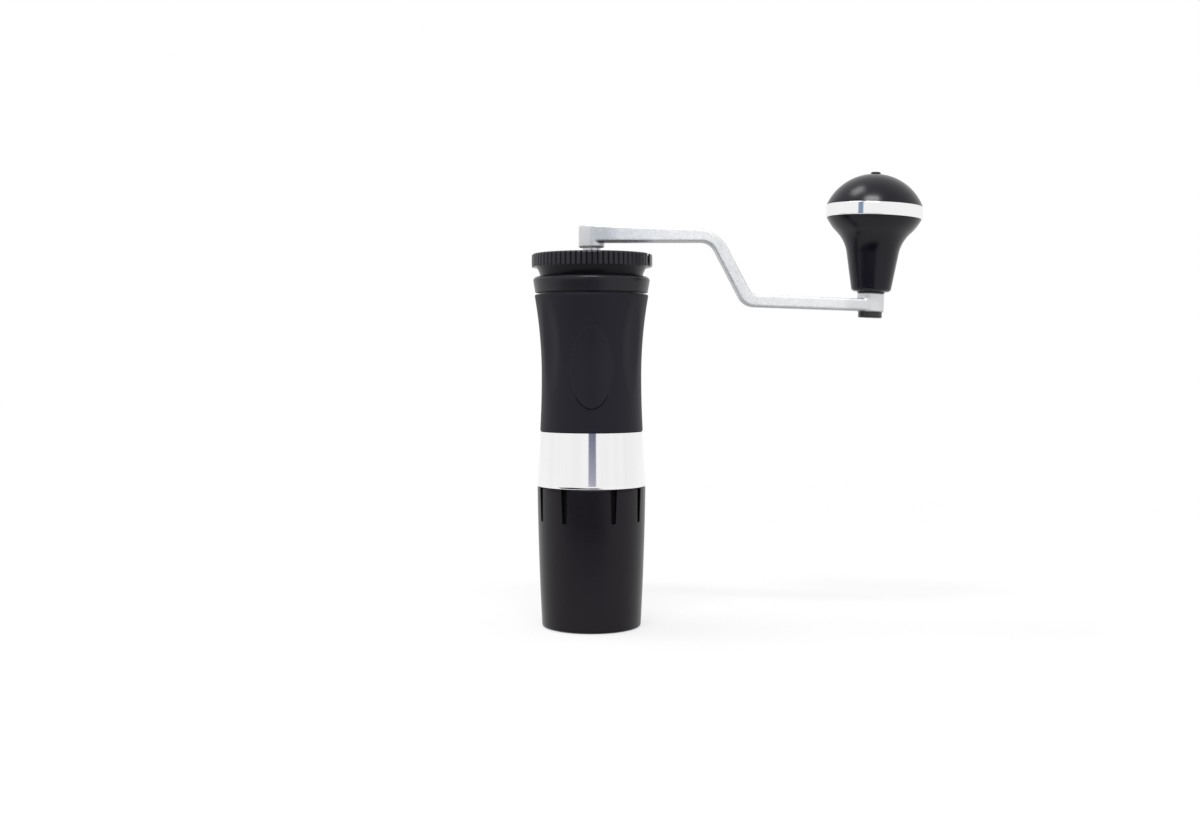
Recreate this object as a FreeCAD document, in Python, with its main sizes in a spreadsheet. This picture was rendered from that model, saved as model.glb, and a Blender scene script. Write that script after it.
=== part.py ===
import FreeCAD, Part
import math
import os
import Sketcher
from FreeCAD import Placement, Rotation, Vector

# Hand crank coffee grinder: a tapered catch cup under a polished burr housing, a waisted grip round the
# hopper tube, a ribbed lid, and a dropped crank arm that ends in a mushroom knob.
# Millimetres, +Z up. The origin is the middle of the cup's base, the crank at rest points along +X,
# and the oval badge faces -Y. Angles round the body are counted from the front, towards +X.

SIZES = {
    # clearances, all on the radius
    "fit_clearance": 0.05,
    "running_clearance": 0.06,
    "sliding_clearance": 0.3,
    "parting_gap": 0.2,
    "edge_break": 0.35,
    # hopper tube and grip, from the bore outwards
    "hopper_bore": 38.0,
    "tube_wall": 1.5,
    "tube_overlap": 10.0,
    "grip_height": 61.6,
    "grip_waist_wall": 1.95,
    "grip_waist_rise": 24.9,
    "grip_top_flare": 3.15,
    "grip_foot_flare": 0.65,
    "grip_edge_round": 0.7,
    "flute_depth": 0.8,
    "flute_reach": 20.0,
    "flute_spread": 32.0,
    "flute_length": 47.5,
    "flute_rise": 31.9,
    "flute_turn": 52.0,
    "badge_width": 19.0,
    "badge_length": 37.6,
    "badge_rise": 29.0,
    "badge_proud": 0.35,
    "badge_sink": 0.9,
    "badge_groove": 0.25,
    "collar_gap": 0.8,
    "collar_gap_wall": 2.45,
    "collar_height": 7.2,
    "collar_inset": 0.2,
    "collar_flare": 0.9,
    "collar_shoulder_width": 2.6,
    "collar_shoulder_height": 1.5,
    "collar_shoulder_round": 2.2,
    # burr housing
    "band_height": 24.6,
    "band_top_step": 0.05,
    "band_flare": 1.15,
    "spigot_wall": 2.7,
    "spigot_length": 16.0,
    "spigot_chamfer": 0.8,
    "seal_wire": 1.8,
    "seal_rise": 5.0,
    "lip_height": 2.0,
    "lip_width": 1.8,
    # catch cup and its pad
    "cup_height": 63.3,
    "cup_taper": 2.1,
    "cup_side_radius": 1500.0,
    "cup_foot_round": 1.2,
    "cup_rim_round": 0.5,
    "cup_wall": 2.0,
    "cup_floor": 2.4,
    "cup_corner_round": 3.0,
    "cup_mouth_spare": 1.5,
    "slot_pairs": 4,
    "slot_length": 15.0,
    "slot_rim_width": 3.0,
    "slot_end_width": 2.0,
    "slot_depth": 1.4,
    "slot_half_spread": 26.75,
    "slot_turn": 2.65,
    "pad_inset": 1.75,
    "pad_thickness": 1.4,
    "pad_proud": 0.3,
    # bearings and their carriers
    "bearing_bore": 8.0,
    "bearing_diameter": 16.0,
    "bearing_width": 5.0,
    "bearing_ball": 2.2,
    "bearing_balls": 9,
    "race_wall": 1.1,
    "ball_clearance": 0.03,
    "carrier_height": 6.2,
    "carrier_web": 3.0,
    "carrier_ledge": 1.0,
    "carrier_ledge_width": 1.7,
    "carrier_hub_wall": 2.0,
    "carrier_rim_wall": 1.8,
    "carrier_arms": 3,
    "carrier_arm_angle": 24.0,
    "carrier_clearance": 2.0,
    # burrs and grind adjuster
    "ring_burr_height": 18.0,
    "ring_burr_wall": 3.35,
    "ring_burr_taper": 4.1,
    "ring_burr_inlet": 3.0,
    "ring_burr_feed": 4.0,
    "ring_burr_teeth": 28,
    "retainer_height": 2.0,
    "retainer_width": 1.75,
    "burr_gap": 0.6,
    "cone_burr_taper": 7.5,
    "cone_burr_height": 14.0,
    "cone_burr_land": 1.5,
    "cone_burr_teeth": 21,
    "cone_burr_drop": 1.0,
    "tooth_depth": 1.1,
    "tooth_width": 2.2,
    "pin_diameter": 2.5,
    "pin_length": 13.0,
    "pin_drop": 3.5,
    "grind_travel_up": 0.3,
    "grind_travel_down": 1.2,
    "click_plate_inset": 2.0,
    "click_plate_thickness": 0.5,
    "dial_inset": 3.0,
    "dial_height": 6.0,
    "dial_scallops": 12,
    "dial_scallop_diameter": 5.0,
    "dial_scallop_depth": 1.0,
    "spring_wire": 1.2,
    "spring_turns": 4,
    "spring_play": 0.35,
    # drive shaft
    "shaft_shoulder": 1.0,
    "shaft_lead": 0.5,
    "hex_step": 0.486,
    "hex_length": 7.0,
    "clip_thickness": 0.8,
    "clip_width": 1.6,
    "end_screw_diameter": 4.0,
    "end_screw_overhang": 1.05,
    "end_screw_head_height": 2.2,
    "end_screw_length": 9.0,
    "end_screw_round": 1.3,
    "end_screw_socket": 3.0,
    "end_screw_socket_depth": 1.3,
    # lid
    "neck_height": 4.2,
    "neck_inset": 0.6,
    "neck_flare": 1.85,
    "neck_radius": 9.0,
    "neck_deck": 3.0,
    "plug_length": 5.5,
    "plug_wall": 2.4,
    "lid_seal_wire": 1.7,
    "lid_seal_rise": 1.2,
    "lid_height": 6.0,
    "lid_overhang": 2.0,
    "lid_edge_round": 1.2,
    "lid_foot_chamfer": 0.15,
    "lid_crown": 1.0,
    "rib_count": 61,
    "rib_pitch": 5.14,
    "rib_start": 114.28,
    "rib_depth": 0.7,
    "rib_groove_width": 1.2,
    "rib_groove_root": 0.5,
    "tab_width": 17.2,
    "tab_depth": 1.95,
    "tab_slit": 0.3,
    "tab_end_gap": 1.6,
    "tab_foot": 1.2,
    "bush_wall": 1.8,
    "bush_flange_width": 0.6,
    "bush_flange_height": 0.3,
    # crank arm
    "hub_gap": 1.5,
    "hub_diameter": 11.6,
    "hub_height": 9.4,
    "hub_edge_round": 0.6,
    "arm_width": 11.4,
    "arm_root_height": 7.2,
    "arm_height": 5.1,
    "arm_end_height": 4.5,
    "arm_edge_round": 1.3,
    "arm_tail": 0.5,
    "arm_bend_reach": 55.3,
    "arm_drop": 29.1,
    "arm_slope": 62.6,
    "arm_upper_outer_bend": 13.0,
    "arm_upper_inner_bend": 6.7,
    "arm_lower_outer_bend": 8.5,
    "arm_lower_inner_bend": 4.2,
    "arm_upper_droop": 0.95,
    "arm_lower_droop": 2.1,
    "crank_reach": 125.9,
    "boss_overhang": 0.4,
    "boss_diameter": 12.0,
    "boss_height": 8.6,
    "boss_edge_round": 0.5,
    # knob and its spindle, along their own leaning axis from the foot of the boss
    "knob_lean": 2.4,
    "spindle_diameter": 5.0,
    "spindle_end_play": 0.5,
    "spindle_cap_diameter": 10.6,
    "spindle_cap_height": 2.6,
    "spindle_cap_round": 0.5,
    "knob_washer_thickness": 0.4,
    "knob_washer_diameter": 12.4,
    "knob_gap": 0.2,
    "knob_foot_diameter": 18.0,
    "knob_foot_round": 1.8,
    "knob_stem_height": 17.3,
    "knob_stem_taper": 2.6,
    "knob_flare_height": 9.3,
    "knob_flare_width": 4.8,
    "knob_flare_radius": 16.85,
    "knob_shoulder_height": 6.4,
    "knob_shoulder_width": 4.7,
    "knob_shoulder_radius": 22.7,
    "knob_wall": 2.6,
    "knob_rim_wall": 3.1,
    "knob_band_step": 0.6,
    "knob_band_height": 5.7,
    "knob_band_edge": 0.4,
    "knob_spigot_depth": 2.5,
    "knob_cap_inset": 0.2,
    "knob_cap_height": 14.5,
    "knob_cap_web": 5.9,
    "knob_cap_rise": 4.6,
    "knob_boss_wall": 2.2,
    "knob_bush_wall": 1.0,
    "knob_lower_bush_length": 10.0,
    "knob_upper_bush_length": 8.0,
    "knob_upper_bush_drop": 6.4,
    "knob_screw_diameter": 3.0,
    "knob_screw_length": 14.0,
    "knob_screw_head": 4.4,
    "knob_screw_head_height": 0.75,
    "knob_screw_head_round": 0.4,
    "knob_screw_play": 0.1,
}

doc = FreeCAD.newDocument("coffee_grinder")
sheet = doc.addObject("Spreadsheet::Sheet", "sizes")
for row, (alias, amount) in enumerate(SIZES.items(), start=1):
    sheet.set(f"A{row}", alias)
    sheet.set(f"B{row}", str(amount))
    sheet.setAlias(f"B{row}", alias)
doc.recompute()


class Size:
    """A measure kept as an expression over the sheet, so that features can be bound to it."""

    def __init__(self, text):
        self.text = text

    def __str__(self):
        return self.text

    def __float__(self):
        result = sheet.evalExpression(self.text)
        return float(getattr(result, "Value", result))

    def __add__(self, other):
        return Size(f"({self} + {other})")

    def __radd__(self, other):
        return Size(f"({other} + {self})")

    def __sub__(self, other):
        return Size(f"({self} - {other})")

    def __rsub__(self, other):
        return Size(f"({other} - {self})")

    def __mul__(self, other):
        return Size(f"({self} * {other})")

    def __rmul__(self, other):
        return Size(f"({other} * {self})")

    def __truediv__(self, other):
        return Size(f"({self} / {other})")

    def __rtruediv__(self, other):
        return Size(f"({other} / {self})")

    def __neg__(self):
        return Size(f"(0 - {self})")


def size(alias):
    """The sheet's own measure of that name."""
    return Size(f"sizes.{alias}")


def sine(angle):
    return Size(f"sin({angle})")


def cosine(angle):
    return Size(f"cos({angle})")


def tangent(angle):
    return Size(f"tan({angle})")


def root(amount):
    return Size(f"sqrt({amount})")


def bind(thing, name, amount):
    """Tie one property to an expression over the sheet."""
    thing.setExpression(name, str(amount))


LEFT, RIGHT = 1, -1


def arc_middle(start, end, radius, turn):
    """Middle of the short arc from start to end that turns LEFT or RIGHT with this radius."""
    chord = end - start
    half = chord.Length / 2
    rise = radius - math.sqrt(radius * radius - half * half)
    outward = Vector(chord.y, -chord.x, 0).normalize() * turn
    return (start + end) / 2 + outward * rise


def origin_of(body, role):
    """The body's own origin plane or axis with this role."""
    return next(part for part in body.Origin.OriginFeatures if part.Role == role)


def sketch_on(body, name, plane, base=(), axis=None, turn=None):
    """An empty sketch on one of the body's planes, turned about axis and then moved by base."""
    sketch = body.newObject("Sketcher::SketchObject", name)
    sketch.AttachmentSupport = [(origin_of(body, plane), "")]
    sketch.MapMode = "FlatFace"
    if turn is not None:
        sketch.AttachmentOffset = Placement(Vector(), Rotation(axis, float(turn)))
        bind(sketch, "AttachmentOffset.Rotation.Angle", turn)
    for direction, amount in zip("xyz", base):
        bind(sketch, f"AttachmentOffset.Base.{direction}", amount)
    return sketch


def hold_point(geometry, end, across, up):
    """Constraints, each with its measure, that hold one end of a line or arc in place."""
    held = []
    for kind, axis_line, amount in (("DistanceX", -2, across), ("DistanceY", -1, up)):
        distance = float(amount)
        if abs(distance) < 1e-9:
            held.append((Sketcher.Constraint("PointOnObject", geometry, end, axis_line), None))
        elif distance > 0:
            held.append((Sketcher.Constraint(kind, -1, 1, geometry, end, distance), amount))
        else:
            held.append((Sketcher.Constraint(kind, geometry, end, -1, 1, -distance), -amount))
    return held


def constrain(sketch, held):
    """Add the constraints together, then tie each one's measure to the sheet."""
    first = len(sketch.Constraints)
    sketch.addConstraint([constraint for constraint, amount in held])
    for index, (constraint, amount) in enumerate(held, start=first):
        if amount is not None:
            bind(sketch, f"Constraints[{index}]", amount)


def outline(sketch, corners):
    """A closed outline. A corner is (across, up), or has a radius and LEFT or RIGHT if an arc leaves it."""
    points = [Vector(float(corner[0]), float(corner[1]), 0) for corner in corners]
    edges = []
    held = []
    for corner, start, end in zip(corners, points, points[1:] + points[:1]):
        if len(corner) == 2:
            shape = Part.LineSegment(start, end)
        else:
            shape = Part.Arc(start, arc_middle(start, end, float(corner[2]), corner[3]), end)
        index = sketch.addGeometry(shape)
        forward = sketch.getPoint(index, 1).distanceToPoint(start) < 1e-6
        edges.append((index, 1, 2) if forward else (index, 2, 1))
        held += hold_point(index, edges[-1][1], corner[0], corner[1])
        if len(corner) > 2:
            held.append((Sketcher.Constraint("Radius", index, float(corner[2])), corner[2]))
    for (before, first, last), (after, begin, finish) in zip(edges, edges[1:] + edges[:1]):
        held.append((Sketcher.Constraint("Coincident", before, last, after, begin), None))
    constrain(sketch, held)


def ring_line(sketch, radius, across=0, up=0):
    """A circle about a point of the sketch."""
    middle = Vector(float(across), float(up), 0)
    index = sketch.addGeometry(Part.Circle(middle, Vector(0, 0, 1), float(radius)))
    held = hold_point(index, 3, across, up)
    held.append((Sketcher.Constraint("Radius", index, float(radius)), radius))
    constrain(sketch, held)


def new_body(label):
    body = doc.addObject("PartDesign::Body", label)
    body.Label = label
    return body


def spin(body, sketch, kind="Revolution"):
    """Turn the sketch a full turn about its own upright axis."""
    feature = body.newObject(f"PartDesign::{kind}", f"{sketch.Name}_{kind}")
    feature.Profile = sketch
    feature.ReferenceAxis = (sketch, ["V_Axis"])
    feature.Angle = 360
    return feature


def turned(label, corners):
    """A body turned about Z from its half section, given as (radius, height) corners."""
    body = new_body(label)
    sketch = sketch_on(body, f"{label}_section", "XZ_Plane")
    outline(sketch, corners)
    spin(body, sketch)
    return body


def ring(label, inner, outer, low, high):
    """A plain ring or, with no inner radius, a disc."""
    return turned(label, [(inner, low), (outer, low), (outer, high), (inner, high)])


def raised(body, sketch, length, centred=False):
    pad = body.newObject("PartDesign::Pad", f"{sketch.Name}_pad")
    pad.Profile = sketch
    pad.Midplane = centred
    bind(pad, "Length", length)
    return pad


def cut_in(body, sketch, length, centred=False, outward=False, along=None):
    """Cut the sketch into the body, and make sure that it took something away."""
    doc.recompute()
    before = body.Shape.Volume
    pocket = body.newObject("PartDesign::Pocket", f"{sketch.Name}_cut")
    pocket.Profile = sketch
    pocket.Midplane = centred
    pocket.Reversed = outward
    bind(pocket, "Length", length)
    if along:
        pocket.UseCustomVector = True
        pocket.AlongSketchNormal = False
        pocket.Direction = Vector(*[float(amount) for amount in along])
        for direction, amount in zip("xyz", along):
            bind(pocket, f"Direction.{direction}", amount)
    doc.recompute()
    if body.Shape.Volume >= before:
        raise RuntimeError(f"{pocket.Name} cuts nothing")
    return pocket


def repeat(body, feature, count, span=360):
    """Repeat a feature evenly about the body's Z axis, over a full turn or over a span from it."""
    pattern = body.newObject("PartDesign::PolarPattern", f"{feature.Name}_round")
    pattern.Originals = [feature]
    pattern.Axis = (origin_of(body, "Z_Axis"), [""])
    bind(pattern, "Angle", span)
    bind(pattern, "Occurrences", count)
    body.Tip = pattern
    doc.recompute()
    return pattern


def boolean(kind, label, base, tool):
    """Part::Cut or Part::Common of two objects."""
    result = doc.addObject(f"Part::{kind}", label)
    result.Label = label
    result.Base = base
    result.Tool = tool
    return result


# Radii from the hopper's bore outwards, each from the piece that it sits on
tube_inside = size("hopper_bore") / 2
tube_outside = tube_inside + size("tube_wall")
over_tube = tube_outside + size("fit_clearance")
in_tube = tube_inside - size("fit_clearance")
spigot = tube_inside + size("spigot_wall")
cup_mouth = spigot + size("sliding_clearance")
grip_waist_radius = over_tube + size("grip_waist_wall")
grip_top_radius = grip_waist_radius + size("grip_top_flare")
grip_foot_radius = grip_waist_radius + size("grip_foot_flare")
band_top_radius = grip_foot_radius + size("band_top_step")
band_foot_radius = band_top_radius + size("band_flare")
cup_foot_radius = band_foot_radius - size("cup_taper")
pad_radius = cup_foot_radius - size("pad_inset")
collar_foot_radius = grip_top_radius - size("collar_inset")
collar_top_radius = collar_foot_radius + size("collar_flare")
collar_mouth_radius = collar_top_radius - size("collar_shoulder_width")
neck_foot_radius = collar_mouth_radius - size("neck_inset")
neck_top_radius = neck_foot_radius + size("neck_flare")
lid_radius = neck_top_radius + size("lid_overhang")
bearing_inside = size("bearing_bore") / 2
bearing_outside = size("bearing_diameter") / 2
shaft = bearing_inside - size("fit_clearance")
round_shaft = shaft + size("running_clearance")
bush_outside = round_shaft + size("bush_wall")
bush_hole = bush_outside + size("fit_clearance")
bush_flange = bush_outside + size("bush_flange_width")
burr_mouth = in_tube - size("ring_burr_wall")
burr_throat = burr_mouth - size("ring_burr_taper")
cone_foot_radius = burr_mouth - size("burr_gap")
cone_top_radius = cone_foot_radius - size("cone_burr_taper")
dial_radius = cone_foot_radius - size("dial_inset")

# Levels along the body's axis, from the floor up
cup_rim = size("cup_height")
band_foot = cup_rim + size("parting_gap")
grip_foot = band_foot + size("band_height")
grip_waist = grip_foot + size("grip_waist_rise")
grip_top = grip_foot + size("grip_height")
collar_foot = grip_top + size("collar_gap")
collar_top = collar_foot + size("collar_height")
neck_foot = collar_top + size("parting_gap")
lid_foot = neck_foot + size("neck_height")
deck_foot = lid_foot - size("neck_deck")
lid_top = lid_foot + size("lid_height")
lid_crown = lid_top + size("lid_crown")
bush_top = lid_crown + size("bush_flange_height")
hub_foot = bush_top + size("hub_gap")
hub_top = hub_foot + size("hub_height")
shaft_top = hub_foot - size("parting_gap")
plug_foot = collar_top - size("plug_length")
upper_carrier = plug_foot - size("carrier_clearance") - size("carrier_height")
upper_bearing = upper_carrier + size("carrier_ledge")
spigot_foot = band_foot - size("spigot_length")
retainer_top = spigot_foot + size("retainer_height")
lip_foot = retainer_top + size("ring_burr_height")
lip_top = lip_foot + size("lip_height")
tube_seat = grip_foot - size("tube_overlap")
lower_bearing = lip_top + size("carrier_ledge")
cone_foot = retainer_top - size("cone_burr_drop")
cone_top = cone_foot + size("cone_burr_height")
pin_level = cone_top - size("pin_drop")
plate_foot = cone_foot - size("click_plate_thickness")
dial_foot = plate_foot - size("dial_height")
shaft_foot = dial_foot - size("grind_travel_down") - size("parting_gap")


def catch_cup():
    """Tapered cup with a cylindrical mouth for the spigot and pairs of tapered slots at its rim."""
    mouth_floor = spigot_foot - size("cup_mouth_spare")
    recess = pad_radius + size("fit_clearance")
    floor = size("pad_thickness") + size("cup_floor")
    inside = cup_foot_radius - size("cup_wall")
    corner = size("cup_corner_round")
    edge = size("cup_foot_round")
    lip = size("cup_rim_round")
    body = turned("catch_cup", [
        (0, size("pad_thickness")),
        (recess, size("pad_thickness")),
        (recess, size("pad_proud")),
        (cup_foot_radius - edge, size("pad_proud"), edge, LEFT),
        (cup_foot_radius, size("pad_proud") + edge, size("cup_side_radius"), LEFT),
        (band_foot_radius, cup_rim - lip, lip, LEFT),
        (band_foot_radius - lip, cup_rim),
        (cup_mouth, cup_rim),
        (cup_mouth, mouth_floor),
        (inside, mouth_floor - (cup_mouth - inside)),
        (inside, floor + corner, corner, RIGHT),
        (inside - corner, floor),
        (0, floor),
    ])
    cup_slots(body, "near", -1)
    cup_slots(body, "far", 1)
    return body


def cup_slots(body, name, side):
    """One slot of each pair, on this side of the pair's middle, open at the rim and narrower below."""
    turn = side * size("slot_half_spread") - size("slot_turn") + 90
    floor = band_foot_radius - size("slot_depth")
    base = (floor * sine(turn), 0, floor * cosine(turn))
    sketch = sketch_on(body, f"{name}_slot", "XZ_Plane", base, Vector(0, 1, 0), turn)
    half_rim = size("slot_rim_width") / 2
    half_end = size("slot_end_width") / 2
    end = cup_rim - size("slot_length")
    above = cup_rim + size("slot_depth")
    outline(sketch, [
        (-half_end, end),
        (half_end, end),
        (half_rim, cup_rim),
        (half_rim, above),
        (-half_rim, above),
        (-half_rim, cup_rim),
    ])
    slot = cut_in(body, sketch, size("slot_depth") * 2, outward=True)
    repeat(body, slot, size("slot_pairs"))


def base_pad():
    """Flat disc let into the foot of the cup, on which the grinder stands."""
    edge = size("pad_proud")
    return turned("base_pad", [
        (0, 0),
        (pad_radius - edge, 0),
        (pad_radius, edge),
        (pad_radius, size("pad_thickness")),
        (0, size("pad_thickness")),
    ])


def burr_housing():
    """Ring turned in one piece: the spigot that the cup goes on, the polished band and the burr's seat."""
    chamfer = size("spigot_chamfer")
    edge = size("edge_break")
    lip = tube_inside - size("lip_width")
    groove = cup_mouth - size("running_clearance") - size("seal_wire") - size("fit_clearance")
    groove_foot = spigot_foot + size("seal_rise") - size("fit_clearance")
    groove_top = spigot_foot + size("seal_rise") + size("seal_wire") + size("fit_clearance")
    return turned("burr_housing", [
        (tube_inside, spigot_foot),
        (spigot - chamfer, spigot_foot),
        (spigot, spigot_foot + chamfer),
        (spigot, groove_foot),
        (groove, groove_foot),
        (groove, groove_top),
        (spigot, groove_top),
        (spigot, band_foot),
        (band_foot_radius - edge, band_foot, edge, LEFT),
        (band_foot_radius, band_foot + edge),
        (band_top_radius, grip_foot),
        (over_tube, grip_foot),
        (over_tube, tube_seat),
        (tube_inside, tube_seat),
        (tube_inside, lip_top),
        (lip, lip_top),
        (lip, lip_foot),
        (tube_inside, lip_foot),
    ])


def seal_ring(label, bore, foot, wire):
    """Soft ring of round section that all but fills a bore."""
    body = new_body(label)
    sketch = sketch_on(body, f"{label}_section", "XZ_Plane")
    ring_line(sketch, wire / 2, bore - size("running_clearance") - wire / 2, foot + wire / 2)
    spin(body, sketch)
    return body


def cup_seal():
    """O-ring in the spigot's groove that holds the cup by friction."""
    return seal_ring("cup_seal", cup_mouth, spigot_foot + size("seal_rise"), size("seal_wire"))


def barrel_tube():
    return ring("barrel_tube", tube_inside, tube_outside, tube_seat, collar_top)


def arc_radius(height, half_chord):
    """Radius of the arc that rises by this height over half its chord."""
    return (height * height + half_chord * half_chord) / (2 * height)


grip_edge = size("grip_edge_round")
grip_lower_arc = arc_radius(size("grip_foot_flare"), size("grip_waist_rise") - grip_edge)
grip_upper_arc = arc_radius(
    size("grip_top_flare"), size("grip_height") - size("grip_waist_rise") - grip_edge
)


def grip_side_up(offset):
    """The grip's outer side from foot to top, moved outwards by offset."""
    return [
        (grip_foot_radius + offset, grip_foot + grip_edge, grip_lower_arc, RIGHT),
        (grip_waist_radius + offset, grip_waist, grip_upper_arc, RIGHT),
        (grip_top_radius + offset, grip_top - grip_edge),
    ]


def grip_side_down(offset):
    """The same side from top to foot."""
    return [
        (grip_top_radius + offset, grip_top - grip_edge, grip_upper_arc, LEFT),
        (grip_waist_radius + offset, grip_waist, grip_lower_arc, LEFT),
        (grip_foot_radius + offset, grip_foot + grip_edge),
    ]


def oval_slice(label, margin, proud):
    """Upright oval at the front of the grip, from badge_sink below its surface to proud above it."""
    oval = doc.addObject("Part::Ellipse", f"{label}_outline")
    upright = Rotation(Vector(0, 0, 1), Vector(1, 0, 0), Vector(0, 1, 0), "ZXY")
    oval.Placement = Placement(Vector(), upright)
    bind(oval, "MajorRadius", size("badge_length") / 2 + margin)
    bind(oval, "MinorRadius", size("badge_width") / 2 + margin)
    bind(oval, "Placement.Base.z", grip_foot + size("badge_rise"))
    prism = doc.addObject("Part::Extrusion", f"{label}_prism")
    prism.Base = oval
    prism.DirMode = "Custom"
    prism.Dir = Vector(0, -1, 0)
    prism.Solid = True
    bind(prism, "LengthFwd", grip_top_radius * 2)
    shell = turned(f"{label}_shell", grip_side_up(proud) + grip_side_down(-size("badge_sink")))
    return boolean("Common", label, shell, prism)


def finger_flute(index, turn):
    """Ellipsoid that scoops one shallow upright flute out of the grip."""
    scoop = doc.addObject("Part::Ellipsoid", f"finger_flute_{index}")
    scoop.Angle1 = -90
    scoop.Angle2 = 90
    scoop.Angle3 = 360
    bind(scoop, "Radius1", size("flute_length"))
    bind(scoop, "Radius2", size("flute_spread"))
    bind(scoop, "Radius3", size("flute_reach"))
    away = grip_waist_radius - size("flute_depth") + size("flute_reach")
    scoop.Placement = Placement(Vector(), Rotation(Vector(0, 0, 1), float(turn)))
    bind(scoop, "Placement.Base.x", away * sine(turn))
    bind(scoop, "Placement.Base.y", -(away * cosine(turn)))
    bind(scoop, "Placement.Base.z", grip_foot + size("flute_rise"))
    bind(scoop, "Placement.Rotation.Angle", turn)
    return scoop


def grip_sleeve():
    """Waisted sleeve with the badge's oval seat at the front and four finger flutes."""
    side = grip_side_up(0)
    core = turned("grip_core", [
        (over_tube, grip_foot),
        (grip_foot_radius - grip_edge, grip_foot, grip_edge, LEFT),
        *side[:2],
        (*side[2], grip_edge, LEFT),
        (grip_top_radius - grip_edge, grip_top),
        (over_tube, grip_top),
    ])
    flute = size("flute_turn")
    turns = (flute, 180 - flute, 180 + flute, 360 - flute)
    scoops = [finger_flute(index, turn) for index, turn in enumerate(turns, start=1)]
    cuts = doc.addObject("Part::MultiFuse", "grip_cuts")
    cuts.Shapes = [oval_slice("badge_seat", size("badge_groove"), size("badge_width")), *scoops]
    return boolean("Cut", "grip_sleeve", core, cuts)


def badge_plate():
    """Bare oval plate that follows the waist of the grip and stands a little proud of it."""
    return oval_slice("badge_plate", 0, size("badge_proud"))


def top_collar():
    """Rounded ring round the top of the tube, which clamps the grip and leaves a dark gap above it."""
    edge = size("edge_break")
    gap = over_tube + size("collar_gap_wall")
    return turned("top_collar", [
        (over_tube, grip_top),
        (gap, grip_top),
        (gap, collar_foot),
        (collar_foot_radius - edge, collar_foot, edge, LEFT),
        (collar_foot_radius, collar_foot + edge),
        (collar_top_radius, collar_top - size("collar_shoulder_height"), size("collar_shoulder_round"), LEFT),
        (collar_mouth_radius, collar_top),
        (over_tube, collar_top),
    ])


def carrier(label, level):
    """Bearing carrier: a rim in the tube and a hub with the bearing's seat, joined by arms."""
    seat = bearing_outside + size("fit_clearance")
    hub = seat + size("carrier_hub_wall")
    rim = in_tube - size("carrier_rim_wall")
    ledge = bearing_outside - size("carrier_ledge_width")
    top = level + size("carrier_height")
    web = level + size("carrier_web")
    body = turned(label, [
        (ledge, level),
        (in_tube, level),
        (in_tube, top),
        (rim, top),
        (rim, web),
        (hub, web),
        (hub, top),
        (seat, top),
        (seat, level + size("carrier_ledge")),
        (ledge, level + size("carrier_ledge")),
    ])
    half = 180 / size("carrier_arms") - size("carrier_arm_angle") / 2
    near, across = cosine(half), sine(half)
    window = sketch_on(body, f"{label}_window", "XY_Plane", (0, 0, web))
    outline(window, [
        (hub * near, -(hub * across)),
        (rim * near, -(rim * across), rim, LEFT),
        (rim * near, rim * across),
        (hub * near, hub * across, hub, RIGHT),
    ])
    repeat(body, cut_in(body, window, size("carrier_web") * 2), size("carrier_arms"))
    return body


race_middle = (bearing_inside + bearing_outside) / 2
ball_groove = size("bearing_ball") / 2 + size("ball_clearance")


def groove_half(wall):
    """Half the height of the ball groove where it meets a wall of this radius."""
    away = wall - race_middle
    return root(ball_groove * ball_groove - away * away)


def outer_race(label, level):
    wall = bearing_outside - size("race_wall")
    middle = level + size("bearing_width") / 2
    top = level + size("bearing_width")
    return turned(label, [
        (wall, level),
        (bearing_outside, level),
        (bearing_outside, top),
        (wall, top),
        (wall, middle + groove_half(wall), ball_groove, RIGHT),
        (wall, middle - groove_half(wall)),
    ])


def inner_race(label, level):
    wall = bearing_inside + size("race_wall")
    middle = level + size("bearing_width") / 2
    top = level + size("bearing_width")
    return turned(label, [
        (bearing_inside, level),
        (wall, level),
        (wall, middle - groove_half(wall), ball_groove, RIGHT),
        (wall, middle + groove_half(wall)),
        (wall, top),
        (bearing_inside, top),
    ])


def ball_set(label, level):
    """The bearing's balls, evenly spaced in the groove."""
    balls = []
    for index in range(int(float(size("bearing_balls")))):
        ball = doc.addObject("Part::Sphere", f"{label}_{index}")
        turn = index * 360 / size("bearing_balls")
        bind(ball, "Radius", size("bearing_ball") / 2)
        bind(ball, "Placement.Base.x", race_middle * cosine(turn))
        bind(ball, "Placement.Base.y", race_middle * sine(turn))
        bind(ball, "Placement.Base.z", level + size("bearing_width") / 2)
        balls.append(ball)
    balls_together = doc.addObject("Part::Compound", label)
    balls_together.Links = balls
    return balls_together


def bearing(name, level):
    """Outer race, inner race and balls of one deep groove bearing."""
    return [
        outer_race(f"{name}_bearing_outer", level),
        inner_race(f"{name}_bearing_inner", level),
        ball_set(f"{name}_bearing_balls", level),
    ]


def toothed(body, name, foot, top, low, high, count, outwards):
    """Cut V teeth along a cone that goes from radius foot at low to radius top at high."""
    width = size("tooth_width")
    bottom = foot - outwards * size("tooth_depth")
    clear = foot + outwards * size("tooth_depth")
    sketch = sketch_on(body, f"{name}_tooth", "XY_Plane", (0, 0, low))
    outline(sketch, [(bottom, 0), (clear, -width), (clear, width)])
    run = (top - foot, 0, high - low)
    length = root((top - foot) * (top - foot) + (high - low) * (high - low))
    return repeat(body, cut_in(body, sketch, length, along=run), count)


def ring_burr():
    """Fixed outer burr: a cone that opens downwards, a throat and a wider inlet, cut with straight teeth."""
    feed = lip_foot - size("ring_burr_feed")
    body = turned("ring_burr", [
        (burr_mouth, retainer_top),
        (in_tube, retainer_top),
        (in_tube, lip_foot),
        (burr_throat + size("ring_burr_inlet"), lip_foot),
        (burr_throat, feed),
    ])
    toothed(body, "ring_burr", burr_mouth, burr_throat, retainer_top, feed, size("ring_burr_teeth"), -1)
    return body


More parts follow.
